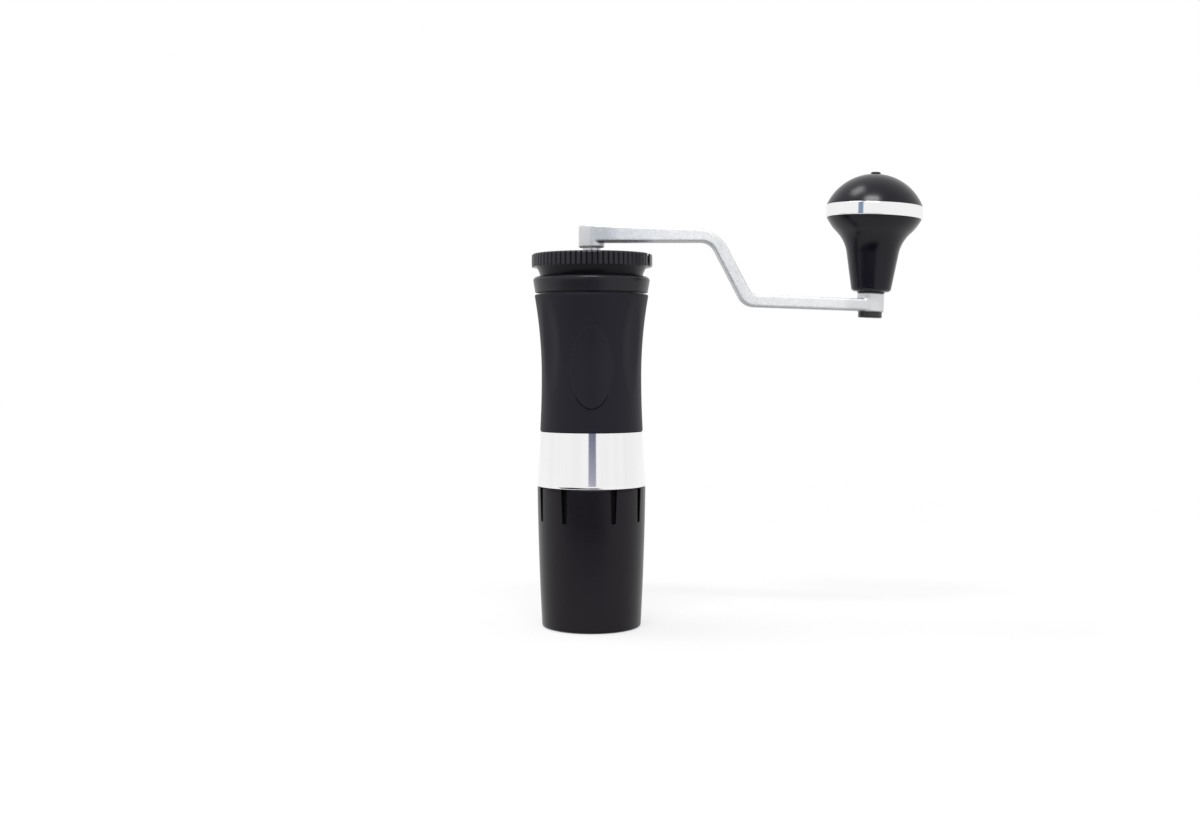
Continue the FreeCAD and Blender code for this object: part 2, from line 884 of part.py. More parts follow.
def burr_retainer():
    """Thin ring under the fixed burr that keeps it against the housing's lip."""
    return ring("burr_retainer", in_tube - size("retainer_width"), in_tube, spigot_foot, retainer_top)


def cone_burr():
    """Turning burr: a toothed cone on the shaft, driven through a slot in its top by the cross pin."""
    land = cone_foot + size("cone_burr_land")
    body = turned("cone_burr", [
        (round_shaft, cone_foot),
        (cone_foot_radius, cone_foot),
        (cone_foot_radius, land),
        (cone_top_radius, cone_top),
        (round_shaft, cone_top),
    ])
    toothed(body, "cone_burr", cone_foot_radius, cone_top_radius, land, cone_top, size("cone_burr_teeth"), 1)
    half = size("pin_diameter") / 2 + size("running_clearance")
    floor = pin_level - half - size("grind_travel_up")
    above = cone_top + half
    slot = sketch_on(body, "pin_slot", "YZ_Plane")
    outline(slot, [(-half, floor), (half, floor), (half, above), (-half, above)])
    cut_in(body, slot, cone_foot_radius * 2, centred=True)
    return body


def click_plate():
    """Thin spring plate between the grinding cone and the dial, whose clicks mark the setting."""
    return ring("click_plate", round_shaft, dial_radius - size("click_plate_inset"), plate_foot, cone_foot)


def adjuster_dial():
    """Scalloped nut under the grinding cone that sets how coarse the grind is."""
    edge = size("edge_break")
    body = turned("adjuster_dial", [
        (round_shaft, dial_foot),
        (dial_radius - edge, dial_foot),
        (dial_radius, dial_foot + edge),
        (dial_radius, plate_foot - edge),
        (dial_radius - edge, plate_foot),
        (round_shaft, plate_foot),
    ])
    scallop = size("dial_scallop_diameter") / 2
    sketch = sketch_on(body, "dial_scallop", "XY_Plane", (0, 0, plate_foot))
    ring_line(sketch, scallop, dial_radius - size("dial_scallop_depth") + scallop)
    repeat(body, cut_in(body, sketch, size("dial_height")), size("dial_scallops"))
    return body


def hexagon_corners(corner):
    """Corners of a hexagon from the radius of its corners."""
    return [(corner * cosine(turn), corner * sine(turn)) for turn in range(0, 360, 60)]


shaft_hexagon = shaft - size("hex_step")


def drive_shaft():
    """Stepped shaft: screw end and burr at the foot, bearings either side of a shoulder, hexagon on top."""
    lead = size("shaft_lead")
    tapped = size("end_screw_diameter") / 2 + size("fit_clearance")
    tapped_top = shaft_foot + size("end_screw_length") + size("parting_gap")
    shoulder = bearing_inside + size("shaft_shoulder")
    body = turned("drive_shaft", [
        (tapped, shaft_foot),
        (shaft - lead, shaft_foot),
        (shaft, shaft_foot + lead),
        (shaft, lower_bearing + size("bearing_width")),
        (shoulder, lower_bearing + size("bearing_width")),
        (shoulder, upper_bearing),
        (shaft, upper_bearing),
        (shaft, shaft_top),
        (0, shaft_top),
        (0, tapped_top),
        (tapped, tapped_top),
    ])
    hexagon = sketch_on(body, "shaft_hexagon", "XY_Plane", (0, 0, shaft_top))
    outline(hexagon, hexagon_corners(shaft_hexagon))
    raised(body, hexagon, size("hex_length"))
    pin = sketch_on(body, "pin_hole", "YZ_Plane")
    ring_line(pin, size("pin_diameter") / 2 + size("fit_clearance"), 0, pin_level)
    cut_in(body, pin, size("pin_length"), centred=True)
    return body


def drive_pin():
    """Cross pin through the shaft that turns the grinding cone."""
    pin = doc.addObject("Part::Cylinder", "drive_pin")
    pin.Placement = Placement(Vector(), Rotation(Vector(0, 1, 0), 90))
    bind(pin, "Radius", size("pin_diameter") / 2)
    bind(pin, "Height", size("pin_length"))
    bind(pin, "Placement.Base.x", -(size("pin_length") / 2))
    bind(pin, "Placement.Base.z", pin_level)
    return pin


def shaft_clip():
    """Spring clip above the upper bearing that keeps the shaft from dropping."""
    level = upper_bearing + size("bearing_width")
    return ring("shaft_clip", shaft, shaft + size("clip_width"), level, level + size("clip_thickness"))


def shaft_end_screw():
    """Screw up the foot of the shaft, whose head stops the dial from coming off."""
    shank = size("end_screw_diameter") / 2
    shank_top = shaft_foot + size("end_screw_length")
    head = shaft + size("end_screw_overhang")
    head_foot = shaft_foot - size("end_screw_head_height")
    edge = size("end_screw_round")
    body = turned("shaft_end_screw", [
        (0, head_foot),
        (head - edge, head_foot, edge, LEFT),
        (head, head_foot + edge),
        (head, shaft_foot),
        (shank, shaft_foot),
        (shank, shank_top),
        (0, shank_top),
    ])
    socket = sketch_on(body, "screw_socket", "XY_Plane", (0, 0, head_foot))
    outline(socket, hexagon_corners(size("end_screw_socket") / 2))
    cut_in(body, socket, size("end_screw_socket_depth"), outward=True)
    return body


def biarc(start, start_way, end, end_way):
    """Two arcs that join two points and are tangent there to the given unit directions."""
    gap = end - start
    ways = start_way + end_way
    bend = 2 * (1 - start_way.dot(end_way))
    reach = (math.sqrt(gap.dot(ways) ** 2 + bend * gap.dot(gap)) - gap.dot(ways)) / bend
    first = start + start_way * reach
    second = end - end_way * reach
    meet = (first + second) / 2
    arcs = []
    for begin, peak, finish in ((start, first, meet), (meet, second, end)):
        middle = (begin + finish) / 2
        half = (peak - begin).getAngle(finish - peak) / 2
        share = math.cos(half) / (1 + math.cos(half))
        arcs.append(Part.Arc(begin, middle + (peak - middle) * share, finish).toShape())
    return arcs


def burr_spring():
    """Coil spring between the lower bearing and the grinding cone, which takes up the adjuster's play."""
    wire = float(size("spring_wire"))
    radius = float(shaft + size("spring_play")) + wire / 2
    low = float(cone_top) + wire / 2
    high = float(lower_bearing) - wire / 2
    turns = int(float(size("spring_turns")))
    pitch = (high - low) / turns

    def on_coil(quarter):
        angle = quarter * math.pi / 2
        point = Vector(radius * math.cos(angle), radius * math.sin(angle), low + pitch * quarter / 4)
        way = Vector(-radius * math.sin(angle), radius * math.cos(angle), pitch / math.tau)
        return point, way.normalize()

    edges = []
    for quarter in range(4 * turns):
        edges += biarc(*on_coil(quarter), *on_coil(quarter + 1))
    point, way = on_coil(0)
    section = Part.Wire([Part.Circle(point, way, wire / 2).toShape()])
    coil = doc.addObject("Part::Feature", "burr_spring")
    coil.Shape = Part.Wire(edges).makePipeShell([section], True, False)
    coil.Placement = Placement()
    print(f"burr_spring gap between turns {pitch - wire:.2f} mm")
    return coil


def rib_groove(body):
    """Cut the first of the upright grooves between the ribs of the lid's rim."""
    depth = size("rib_depth")
    narrow = size("rib_groove_root") / 2
    wide = size("rib_groove_width") - narrow
    turn = size("rib_start") - 90
    sketch = sketch_on(body, "rib_groove", "XY_Plane", (0, 0, lid_top), Vector(0, 0, 1), turn)
    outline(sketch, [
        (lid_radius - depth, -narrow),
        (lid_radius + depth, -wide),
        (lid_radius + depth, wide),
        (lid_radius - depth, narrow),
    ])
    return cut_in(body, sketch, size("lid_height"))


def lid_tab(body):
    """Free a tab from the rim on the crank's side: a slit behind it and a gap at each end, above its foot."""
    behind = lid_radius - size("tab_depth")
    inside = behind + size("tab_slit")
    beyond = lid_radius + size("tab_depth")
    half = size("tab_width") / 2
    end = half + size("tab_end_gap")
    sketch = sketch_on(body, "tab_slit", "XY_Plane", (0, 0, lid_crown))
    outline(sketch, [
        (behind, -end),
        (beyond, -end),
        (beyond, -half),
        (inside, -half),
        (inside, half),
        (beyond, half),
        (beyond, end),
        (behind, end),
    ])
    cut_in(body, sketch, lid_crown - lid_foot - size("tab_foot"))


def lid_cap():
    """Ribbed cap of the lid, with a smooth tab among its ribs and a crowned top."""
    edge = size("lid_edge_round")
    chamfer = size("lid_foot_chamfer")
    body = turned("lid_cap", [
        (bush_hole, lid_foot),
        (lid_radius - chamfer, lid_foot),
        (lid_radius, lid_foot + chamfer),
        (lid_radius, lid_top - edge, edge, LEFT),
        (lid_radius - edge, lid_top),
        (bush_flange, lid_crown),
        (bush_hole, lid_crown),
    ])
    lid_tab(body)
    repeat(body, rib_groove(body), size("rib_count"), size("rib_pitch") * (size("rib_count") - 1))
    return body


def lid_neck():
    """Concave neck under the cap, whose plug closes the tube and carries the lid's seal."""
    plug = tube_inside - size("sliding_clearance")
    hollow = plug - size("plug_wall")
    wire = size("lid_seal_wire")
    groove = tube_inside - size("running_clearance") - wire - size("fit_clearance")
    groove_foot = plug_foot + size("lid_seal_rise") - size("fit_clearance")
    groove_top = plug_foot + size("lid_seal_rise") + wire + size("fit_clearance")
    return turned("lid_neck", [
        (hollow, plug_foot),
        (plug, plug_foot),
        (plug, groove_foot),
        (groove, groove_foot),
        (groove, groove_top),
        (plug, groove_top),
        (plug, neck_foot),
        (neck_foot_radius, neck_foot, size("neck_radius"), RIGHT),
        (neck_top_radius, lid_foot),
        (bush_hole, lid_foot),
        (bush_hole, deck_foot),
        (hollow, deck_foot),
    ])


def lid_seal():
    """Soft ring in the plug's groove."""
    return seal_ring("lid_seal", tube_inside, plug_foot + size("lid_seal_rise"), size("lid_seal_wire"))


def lid_bush():
    """Flanged bush through the cap and the neck, in which the shaft turns."""
    return turned("lid_bush", [
        (round_shaft, deck_foot),
        (bush_outside, deck_foot),
        (bush_outside, lid_crown),
        (bush_flange, lid_crown),
        (bush_flange, bush_top),
        (round_shaft, bush_top),
    ])


# Middle line of the crank arm: from the hub to the upper bend, down to the lower bend, out to the boss
upper_droop = size("arm_upper_droop")
lower_droop = size("arm_lower_droop")
arm_slope = size("arm_slope")
arm_reach = size("crank_reach")
arm_level = hub_top - size("arm_root_height") / 2
upper_bend = (size("arm_bend_reach"), arm_level - size("arm_bend_reach") * tangent(upper_droop))
lower_bend = (
    upper_bend[0] + size("arm_drop") / tangent(arm_slope), upper_bend[1] - size("arm_drop")
)
arm_end_level = lower_bend[1] - (arm_reach - lower_bend[0]) * tangent(lower_droop)
boss_foot = arm_end_level - size("arm_end_height") / 2 - size("boss_overhang")


def beside(point, droop):
    """The arm's upper and lower corner at a bend between a drooping stretch and the slope."""
    middle = (droop + arm_slope) / 2
    half = size("arm_height") / 2 / cosine((arm_slope - droop) / 2)
    across, up = half * sine(middle), half * cosine(middle)
    return (point[0] + across, point[1] + up), (point[0] - across, point[1] - up)


def edge_across(body, corner):
    """Name of the body's edge along Y that passes through this corner of the XZ plane."""
    place = Vector(float(corner[0]), 0, float(corner[1]))

    def away(edge):
        ends = [Vector(vertex.Point.x, 0, vertex.Point.z) for vertex in edge.Vertexes]
        return max(end.distanceToPoint(place) for end in ends)

    edges = body.Shape.Edges
    return f"Edge{1 + edges.index(min(edges, key=away))}"


def rounded(body, name, radius, corner=None):
    """Fillet the edge at this corner, or every edge of the body."""
    doc.recompute()
    base = body.Tip
    edges = [edge_across(body, corner)] if corner else [""]
    fillet = body.newObject("PartDesign::Fillet", name)
    fillet.Base = (base, edges)
    fillet.UseAllEdges = corner is None
    bind(fillet, "Radius", radius)
    return fillet


def arm_bar(body):
    """The bar itself: its side outline, its four bends and its rounded edges."""
    upper_top, upper_low = beside(upper_bend, upper_droop)
    lower_top, lower_low = beside(lower_bend, lower_droop)
    root_half = size("arm_root_height") / 2
    end_half = size("arm_end_height") / 2
    tail = -size("arm_tail")
    tip = arm_reach + size("arm_tail")
    side = sketch_on(body, "arm_side", "XZ_Plane")
    outline(side, [
        (tail, arm_level - root_half),
        upper_low,
        lower_low,
        (tip, arm_end_level - end_half),
        (tip, arm_end_level + end_half),
        lower_top,
        upper_top,
        (tail, arm_level + root_half),
    ])
    raised(body, side, size("arm_width"), centred=True)
    rounded(body, "upper_outer_bend", size("arm_upper_outer_bend"), upper_top)
    rounded(body, "upper_inner_bend", size("arm_upper_inner_bend"), upper_low)
    rounded(body, "lower_outer_bend", size("arm_lower_outer_bend"), lower_low)
    rounded(body, "lower_inner_bend", size("arm_lower_inner_bend"), lower_top)
    rounded(body, "arm_edges", size("arm_edge_round"))


def stud(body, sketch, radius, low, high, edge):
    """Add a round stud with rounded rims about the sketch's upright axis."""
    outline(sketch, [
        (0, low),
        (radius - edge, low, edge, LEFT),
        (radius, low + edge),
        (radius, high - edge, edge, LEFT),
        (radius - edge, high),
        (0, high),
    ])
    spin(body, sketch)


def leaning_sketch(body, name):
    """Sketch in the XZ plane whose upright axis is the leaning axis of the knob."""
    base = (arm_reach, boss_foot, 0)
    return sketch_on(body, name, "XZ_Plane", base, Vector(0, 0, -1), size("knob_lean"))


def crank_arm():
    """Cast arm: a bar that drops from the hub's level to the knob's, with the hub and the leaning boss."""
    body = new_body("crank_arm")
    arm_bar(body)
    hub = sketch_on(body, "hub_section", "XZ_Plane")
    stud(body, hub, size("hub_diameter") / 2, hub_foot, hub_top, size("hub_edge_round"))
    boss = leaning_sketch(body, "boss_section")
    stud(body, boss, size("boss_diameter") / 2, 0, size("boss_height"), size("boss_edge_round"))
    hole = spindle + size("fit_clearance")
    through = size("boss_height") * 2
    hole_section = leaning_sketch(body, "spindle_hole")
    outline(hole_section, [(0, -through), (hole, -through), (hole, through), (0, through)])
    spin(body, hole_section, "Groove")
    socket = sketch_on(body, "hub_socket", "XY_Plane", (0, 0, hub_foot))
    outline(socket, hexagon_corners(shaft_hexagon + size("running_clearance")))
    cut_in(body, socket, size("hex_length"), outward=True)
    return body


# Radii and levels of the knob about its own axis, from the foot of the boss up
spindle = size("spindle_diameter") / 2
knob_bush_bore = spindle + size("running_clearance")
knob_bush_outside = knob_bush_bore + size("knob_bush_wall")
knob_bush_seat = knob_bush_outside + size("fit_clearance")
knob_screw_shank = size("knob_screw_diameter") / 2
knob_foot_radius = size("knob_foot_diameter") / 2
knob_stem_radius = knob_foot_radius + size("knob_stem_taper")
knob_flare_out = knob_stem_radius + size("knob_flare_width")
knob_shoulder_out = knob_flare_out + size("knob_shoulder_width")
knob_bore = knob_shoulder_out - size("knob_rim_wall")
knob_band_radius = knob_shoulder_out + size("knob_band_step")
knob_cap_radius = knob_band_radius - size("knob_cap_inset")

washer_top = size("boss_height") + size("knob_washer_thickness")
knob_foot = washer_top + size("knob_gap")
knob_stem_top = knob_foot + size("knob_stem_height")
knob_flare_top = knob_stem_top + size("knob_flare_height")
knob_band_foot = knob_flare_top + size("knob_shoulder_height")
knob_spigot_foot = knob_band_foot - size("knob_spigot_depth")
knob_cap_foot = knob_band_foot + size("knob_band_height")
knob_apex = knob_cap_foot + size("knob_cap_height")
lower_bush_top = knob_foot + size("knob_lower_bush_length")
upper_bush_top = knob_apex - size("knob_upper_bush_drop")
upper_bush_foot = upper_bush_top - size("knob_upper_bush_length")
spindle_top = upper_bush_top - size("spindle_end_play")
screw_foot = knob_apex - size("knob_screw_length")


def on_spindle(part):
    """Stand a piece, made about Z, on the knob's leaning axis at the foot of the boss."""
    part.Placement = Placement(Vector(), Rotation(Vector(0, 1, 0), float(size("knob_lean"))))
    bind(part, "Placement.Base.x", arm_reach)
    bind(part, "Placement.Base.z", boss_foot)
    bind(part, "Placement.Rotation.Angle", size("knob_lean"))
    return part


def knob_spindle():
    """Steel pin fixed in the boss, drilled at the top for the knob's screw."""
    tapped = knob_screw_shank + size("fit_clearance")
    tapped_foot = screw_foot - size("parting_gap")
    return on_spindle(turned("knob_spindle", [
        (0, 0),
        (spindle, 0),
        (spindle, spindle_top),
        (tapped, spindle_top),
        (tapped, tapped_foot),
        (0, tapped_foot),
    ]))


def spindle_cap():
    """Black cap under the boss that closes the spindle's hole."""
    outside = size("spindle_cap_diameter") / 2
    edge = size("spindle_cap_round")
    foot = -size("spindle_cap_height")
    return on_spindle(turned("spindle_cap", [
        (0, foot),
        (outside - edge, foot, edge, LEFT),
        (outside, foot + edge),
        (outside, 0),
        (0, 0),
    ]))


def knob_washer():
    """Black thrust washer between the boss and the knob."""
    inner = spindle + size("fit_clearance")
    outer = size("knob_washer_diameter") / 2
    return on_spindle(ring("knob_washer", inner, outer, size("boss_height"), washer_top))


def knob_screw():
    """Screw down the top of the spindle, whose small head shows on the knob's crown and holds the knob."""
    head = size("knob_screw_head") / 2
    seat = knob_apex + size("knob_screw_play")
    top = seat + size("knob_screw_head_height")
    edge = size("knob_screw_head_round")
    return on_spindle(turned("knob_screw", [
        (0, screw_foot),
        (knob_screw_shank, screw_foot),
        (knob_screw_shank, seat),
        (head, seat),
        (head, top - edge, edge, LEFT),
        (head - edge, top),
        (0, top),
    ]))


def knob_grip():
    """Black stem of the knob: a slow cone that flares out to the band, hollow above its bush."""
    edge = size("knob_foot_round")
    hollow = knob_flare_out - size("knob_wall")
    return on_spindle(turned("knob_grip", [
        (knob_bush_seat, knob_foot),
        (knob_foot_radius - edge, knob_foot, edge, LEFT),
        (knob_foot_radius, knob_foot + edge),
        (knob_stem_radius, knob_stem_top, size("knob_flare_radius"), RIGHT),
        (knob_flare_out, knob_flare_top, size("knob_shoulder_radius"), LEFT),
        (knob_shoulder_out, knob_band_foot),
        (knob_bore, knob_band_foot),
        (knob_bore, knob_spigot_foot),
        (hollow, knob_spigot_foot),
        (hollow, knob_flare_top),
        (knob_bush_seat, lower_bush_top),
    ]))


def knob_band():
    """Polished ring between the stem and the crown of the knob."""
    edge = size("knob_band_edge")
    return on_spindle(turned("knob_band", [
        (knob_bore, knob_band_foot),
        (knob_band_radius - edge, knob_band_foot, edge, LEFT),
        (knob_band_radius, knob_band_foot + edge),
        (knob_band_radius, knob_cap_foot - edge, edge, LEFT),
        (knob_band_radius - edge, knob_cap_foot),
        (knob_bore, knob_cap_foot),
    ]))


def knob_cap():
    """Domed black crown, whose spigot goes through the band into the stem and whose boss holds a bush."""
    dome = arc_radius(size("knob_cap_height"), knob_cap_radius)
    hole = knob_screw_shank + size("sliding_clearance")
    hole_top = knob_apex - dome + root(dome * dome - hole * hole)
    spigot_outside = knob_bore - size("fit_clearance")
    hollow = spigot_outside - size("knob_wall")
    boss = knob_bush_seat + size("knob_boss_wall")
    ceiling = knob_cap_foot + size("knob_cap_web")
    return on_spindle(turned("knob_cap", [
        (hollow, knob_spigot_foot),
        (spigot_outside, knob_spigot_foot),
        (spigot_outside, knob_cap_foot),
        (knob_cap_radius, knob_cap_foot, dome, LEFT),
        (hole, hole_top),
        (hole, upper_bush_top),
        (knob_bush_seat, upper_bush_top),
        (knob_bush_seat, upper_bush_foot),
        (boss, upper_bush_foot),
        (boss, ceiling + size("knob_cap_rise")),
        (hollow, ceiling),
    ]))


def knob_bush(label, foot, top):
    """Plain bush in which the knob turns on its spindle."""
    return on_spindle(ring(label, knob_bush_bore, knob_bush_outside, foot, top))


parts = [
    catch_cup(),
    base_pad(),
    burr_housing(),
    cup_seal(),
    barrel_tube(),
    grip_sleeve(),
    badge_plate(),
    top_collar(),
    carrier("upper_carrier", upper_carrier),
    carrier("lower_carrier", lip_top),
    *bearing("upper", upper_bearing),
    *bearing("lower", lower_bearing),
    ring_burr(),
    burr_retainer(),
    cone_burr(),
    click_plate(),
    adjuster_dial(),
    drive_shaft(),
    drive_pin(),
    shaft_clip(),
    shaft_end_screw(),
    burr_spring(),
    lid_cap(),
    lid_neck(),
    lid_seal(),
    lid_bush(),
    crank_arm(),
    knob_spindle(),
    spindle_cap(),
    knob_washer(),
    knob_screw(),
    knob_grip(),
    knob_band(),
    knob_cap(),
    knob_bush("knob_lower_bush", knob_foot, lower_bush_top),
    knob_bush("knob_upper_bush", upper_bush_foot, upper_bush_top),
]

doc.recompute()
for thing in doc.Objects:
    if {"Invalid", "Error"} & set(thing.State):
        raise RuntimeError(f"{thing.Label} failed: {thing.State}")
for part in parts:
    if part.Shape.isNull() or not part.Shape.isValid():
        raise RuntimeError(f"{part.Label} has no valid shape")

os.makedirs("parts", exist_ok=True)
for part in parts:
    part.Shape.exportStep(f"parts/{part.Label}.step")
    print(part.Label, len(part.Shape.Solids), round(part.Shape.Volume, 1))
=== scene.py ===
import math

import bmesh
import bpy
import mathutils
import numpy as np
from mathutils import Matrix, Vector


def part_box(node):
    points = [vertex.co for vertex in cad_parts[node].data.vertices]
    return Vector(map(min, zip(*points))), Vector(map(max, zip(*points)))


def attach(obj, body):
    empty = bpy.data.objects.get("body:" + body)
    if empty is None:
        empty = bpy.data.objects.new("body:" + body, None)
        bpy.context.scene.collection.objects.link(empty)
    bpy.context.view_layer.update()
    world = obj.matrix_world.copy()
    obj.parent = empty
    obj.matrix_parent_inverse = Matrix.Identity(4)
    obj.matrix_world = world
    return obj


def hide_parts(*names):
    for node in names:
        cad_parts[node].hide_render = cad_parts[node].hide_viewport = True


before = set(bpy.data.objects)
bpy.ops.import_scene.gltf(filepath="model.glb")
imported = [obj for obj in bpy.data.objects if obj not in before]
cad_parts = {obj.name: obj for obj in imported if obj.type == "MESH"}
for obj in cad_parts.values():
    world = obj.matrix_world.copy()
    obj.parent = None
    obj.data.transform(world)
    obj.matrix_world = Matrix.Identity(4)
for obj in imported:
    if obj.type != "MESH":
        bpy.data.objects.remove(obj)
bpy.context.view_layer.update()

# Catch cup: a tapered cup turned from aluminium, blasted and anodised a dark satin grey. It pushes up on
# to the spigot of the burr housing. Four pairs of tapered slots at its rim give the fingers a hold.
MM = 0.001
LEFT = 1
RIGHT = -1
RUN_STEP = 1.2 * MM
ARC_STEPS = 7
SMALL_ROUND = 1.6 * MM
ROUND_COLUMNS = 192
SHARP_ANGLE = math.radians(38)
WELD = 1e-7

cup_low, cup_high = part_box("catch_cup")
cup_foot = cup_low[2]
cup_rim = cup_high[2]
cup_rim_radius = cup_high[0]
CUP_FOOT_RADIUS = 22.25 * MM
CUP_FOOT_ROUND = 1.2 * MM
CUP_RIM_ROUND = 0.5 * MM
CUP_SIDE_BOW = 1500 * MM
CUP_MOUTH = 22.0 * MM
CUP_MOUTH_FLOOR = 46.0 * MM
CUP_INSIDE = 20.25 * MM
CUP_FLOOR = 3.8 * MM
CUP_CORNER = 3.0 * MM
PAD_RECESS = 20.55 * MM
PAD_THICKNESS = 1.4 * MM

SLOT_TURN = math.radians(-2.65)
SLOT_HALF_SPREAD = math.radians(26.75)
SLOT_PAIRS = 4
SLOT_LENGTH = 15.0 * MM
SLOT_RIM_WIDTH = 3.0 * MM
SLOT_END_WIDTH = 2.0 * MM
SLOT_DEPTH = 1.4 * MM
SLOT_BEVEL = 0.12 * MM
SLOT_CORNER = 0.35 * MM
SLOT_ROWS = 6
BETWEEN_SLOTS = 22


def stretch(start, end, radius=None, turn=LEFT):
    """Points from start up to, but not including, end, with a mark of 1 on small rounds.

    A straight run divides its chord evenly. An arc turns about a centre on its left or right, which lies
    off the chord's middle by the root of radius squared less half the chord squared.
    """
    start = np.array(start)
    chord = np.array(end) - start
    length = math.hypot(*chord)
    count = math.ceil(length / RUN_STEP)
    if radius is None:
        along = np.arange(count) / count
        points = start + chord * along[:, None]
        return np.column_stack([points, np.zeros(count)])
    count = max(count, ARC_STEPS)
    across = turn * np.array([-chord[1], chord[0]]) / length
    centre = start + chord / 2 + across * math.sqrt(max(radius ** 2 - length ** 2 / 4, 0))
    angle = turn * 2 * math.asin(min(length / 2 / radius, 1)) * np.arange(count) / count
    spoke = start - centre
    points = centre + np.column_stack([
        spoke[0] * np.cos(angle) - spoke[1] * np.sin(angle),
        spoke[0] * np.sin(angle) + spoke[1] * np.cos(angle),
    ])
    return np.column_stack([points, np.full(count, radius < SMALL_ROUND)])


def foot_round(radius, level, edge, *bow):
    """Two corners that round the outer edge of a foot. An arc may leave the second."""
    return [(radius - edge, level, edge, LEFT), (radius, level + edge, *bow)]


def top_round(radius, level, edge):
    """Two corners that round the outer edge of a top."""
    return [(radius, level - edge, edge, LEFT), (radius - edge, level)]


def half_section(corners):
    """Rows (radius, height, mark) round a half section whose corners are (radius, height), or with a radius
    and LEFT or RIGHT if an arc leaves them. A section that starts and ends on the axis stays open there."""
    on_axis = corners[0][0] == 0 and corners[-1][0] == 0
    ends = corners[1:] if on_axis else corners[1:] + corners[:1]
    rows = [stretch(corner[:2], end[:2], *corner[2:]) for corner, end in zip(corners, ends)]
    if on_axis:
        rows.append(np.array([[*corners[-1][:2], 0]]))
    return np.vstack(rows)


def skin(name, grid, mark, lined=None):
    """Closed mesh over a grid of points. Columns always close on themselves. Rows do too, unless the
    first and last row are poles, which are welded to a point. mark is kept on the points as edge, and
    lined quads take the piece's second finish."""
    rows, columns = grid.shape[:2]
    poles = np.ptp(grid[0], axis=0).max() < WELD
    number = np.arange(rows * columns).reshape(rows, columns)
    if not poles:
        number = np.vstack([number, number[:1]])
    number = np.hstack([number, number[:, :1]])
    quads = np.stack([number[:-1, :-1], number[:-1, 1:], number[1:, 1:], number[1:, :-1]], axis=-1)
    mesh = bpy.data.meshes.new(name)
    mesh.from_pydata(grid.reshape(-1, 3).tolist(), [], quads.reshape(-1, 4).tolist())
    if lined is not None:
        mesh.polygons.foreach_set("material_index", lined.astype(np.int32).ravel())
    edge = mesh.attributes.new("edge", "FLOAT", "POINT")
    edge.data.foreach_set("value", np.broadcast_to(mark, (rows, columns)).astype(np.float32).ravel())
    shell = bmesh.new()
    shell.from_mesh(mesh)
    bmesh.ops.remove_doubles(shell, verts=shell.verts, dist=WELD)
    bmesh.ops.recalc_face_normals(shell, faces=shell.faces)
    shell.to_mesh(mesh)
    shell.free()
    return finished(name, mesh)


def finished(name, mesh):
    """The mesh as a smooth object with sharp creases, linked to the scene at the origin."""
    mesh.shade_smooth()
    mesh.set_sharp_from_angle(angle=SHARP_ANGLE)
    piece = bpy.data.objects.new(name, mesh)
    bpy.context.scene.collection.objects.link(piece)
    return piece


def swept(radius, angle, height):
    """Points at a radius and height, at an angle counted from the front (-Y) towards +X."""
    radius, angle, height = np.broadcast_arrays(radius, angle, height)
    return np.stack([radius * np.sin(angle), -radius * np.cos(angle), height], axis=-1)


def round_angles(count):
    """This many angles, evenly spaced once round."""
    return 2 * math.pi * np.arange(count) / count


def turned(name, corners, place=None):
    """A half section carried once round the Z axis: each row's radius and height at every column's angle.
    place moves the points of a piece that stands on another axis."""
    rows = half_section(corners)
    grid = swept(rows[:, :1], round_angles(ROUND_COLUMNS)[None, :], rows[:, 1:2])
    if place:
        grid = place(grid)
    return skin(name, grid, rows[:, 2:])


def slot_half_width(height):
    """Half the slot's width: a straight taper from rim to end, less the round of its lower corners."""
    end = cup_rim - SLOT_LENGTH
    share = np.clip((height - end) / SLOT_LENGTH, 0, 1)
    taper = (SLOT_END_WIDTH + (SLOT_RIM_WIDTH - SLOT_END_WIDTH) * share) / 2
    above = np.clip((height - end) / SLOT_CORNER, 0, 1)
    return taper - SLOT_CORNER * (1 - np.sqrt(1 - (1 - above) ** 2))


def slot_columns(rows):
    """Angle of every column in every row, and how deep it lies: 0 outside the slots, 1 on a bevelled edge
    and 2 on a slot's floor.

    Each slot has seven columns that follow its edges: a bevel, the edge, the wall's foot and the middle.
    The columns between two slots are spaced evenly from edge to edge.
    """
    pair = SLOT_TURN + round_angles(SLOT_PAIRS)
    middle = np.sort(np.concatenate([pair - SLOT_HALF_SPREAD, pair + SLOT_HALF_SPREAD]))
    half = slot_half_width(rows[:, 1]) / cup_rim_radius
    bevel = SLOT_BEVEL / cup_rim_radius
    side = np.array([-1, -1, -1, 0, 1, 1, 1])
    beyond = np.array([-1, 0, 0, 0, 0, 0, 1]) * bevel
    depth = np.array([0, 1, 2, 2, 2, 1, 0])
    slots = middle[None, :, None] + half[:, None, None] * side + beyond
    share = np.arange(1, BETWEEN_SLOTS + 1) / (BETWEEN_SLOTS + 1)
    following = np.roll(slots[:, :, 0], -1, axis=1)
    following[:, -1] += 2 * math.pi
    between = slots[:, :, -1:] + (following - slots[:, :, -1])[:, :, None] * share
    angle = np.concatenate([slots, between], axis=2)
    depth = np.tile(np.concatenate([depth, np.zeros(BETWEEN_SLOTS)]), len(middle))
    return angle.reshape(len(rows), -1), depth


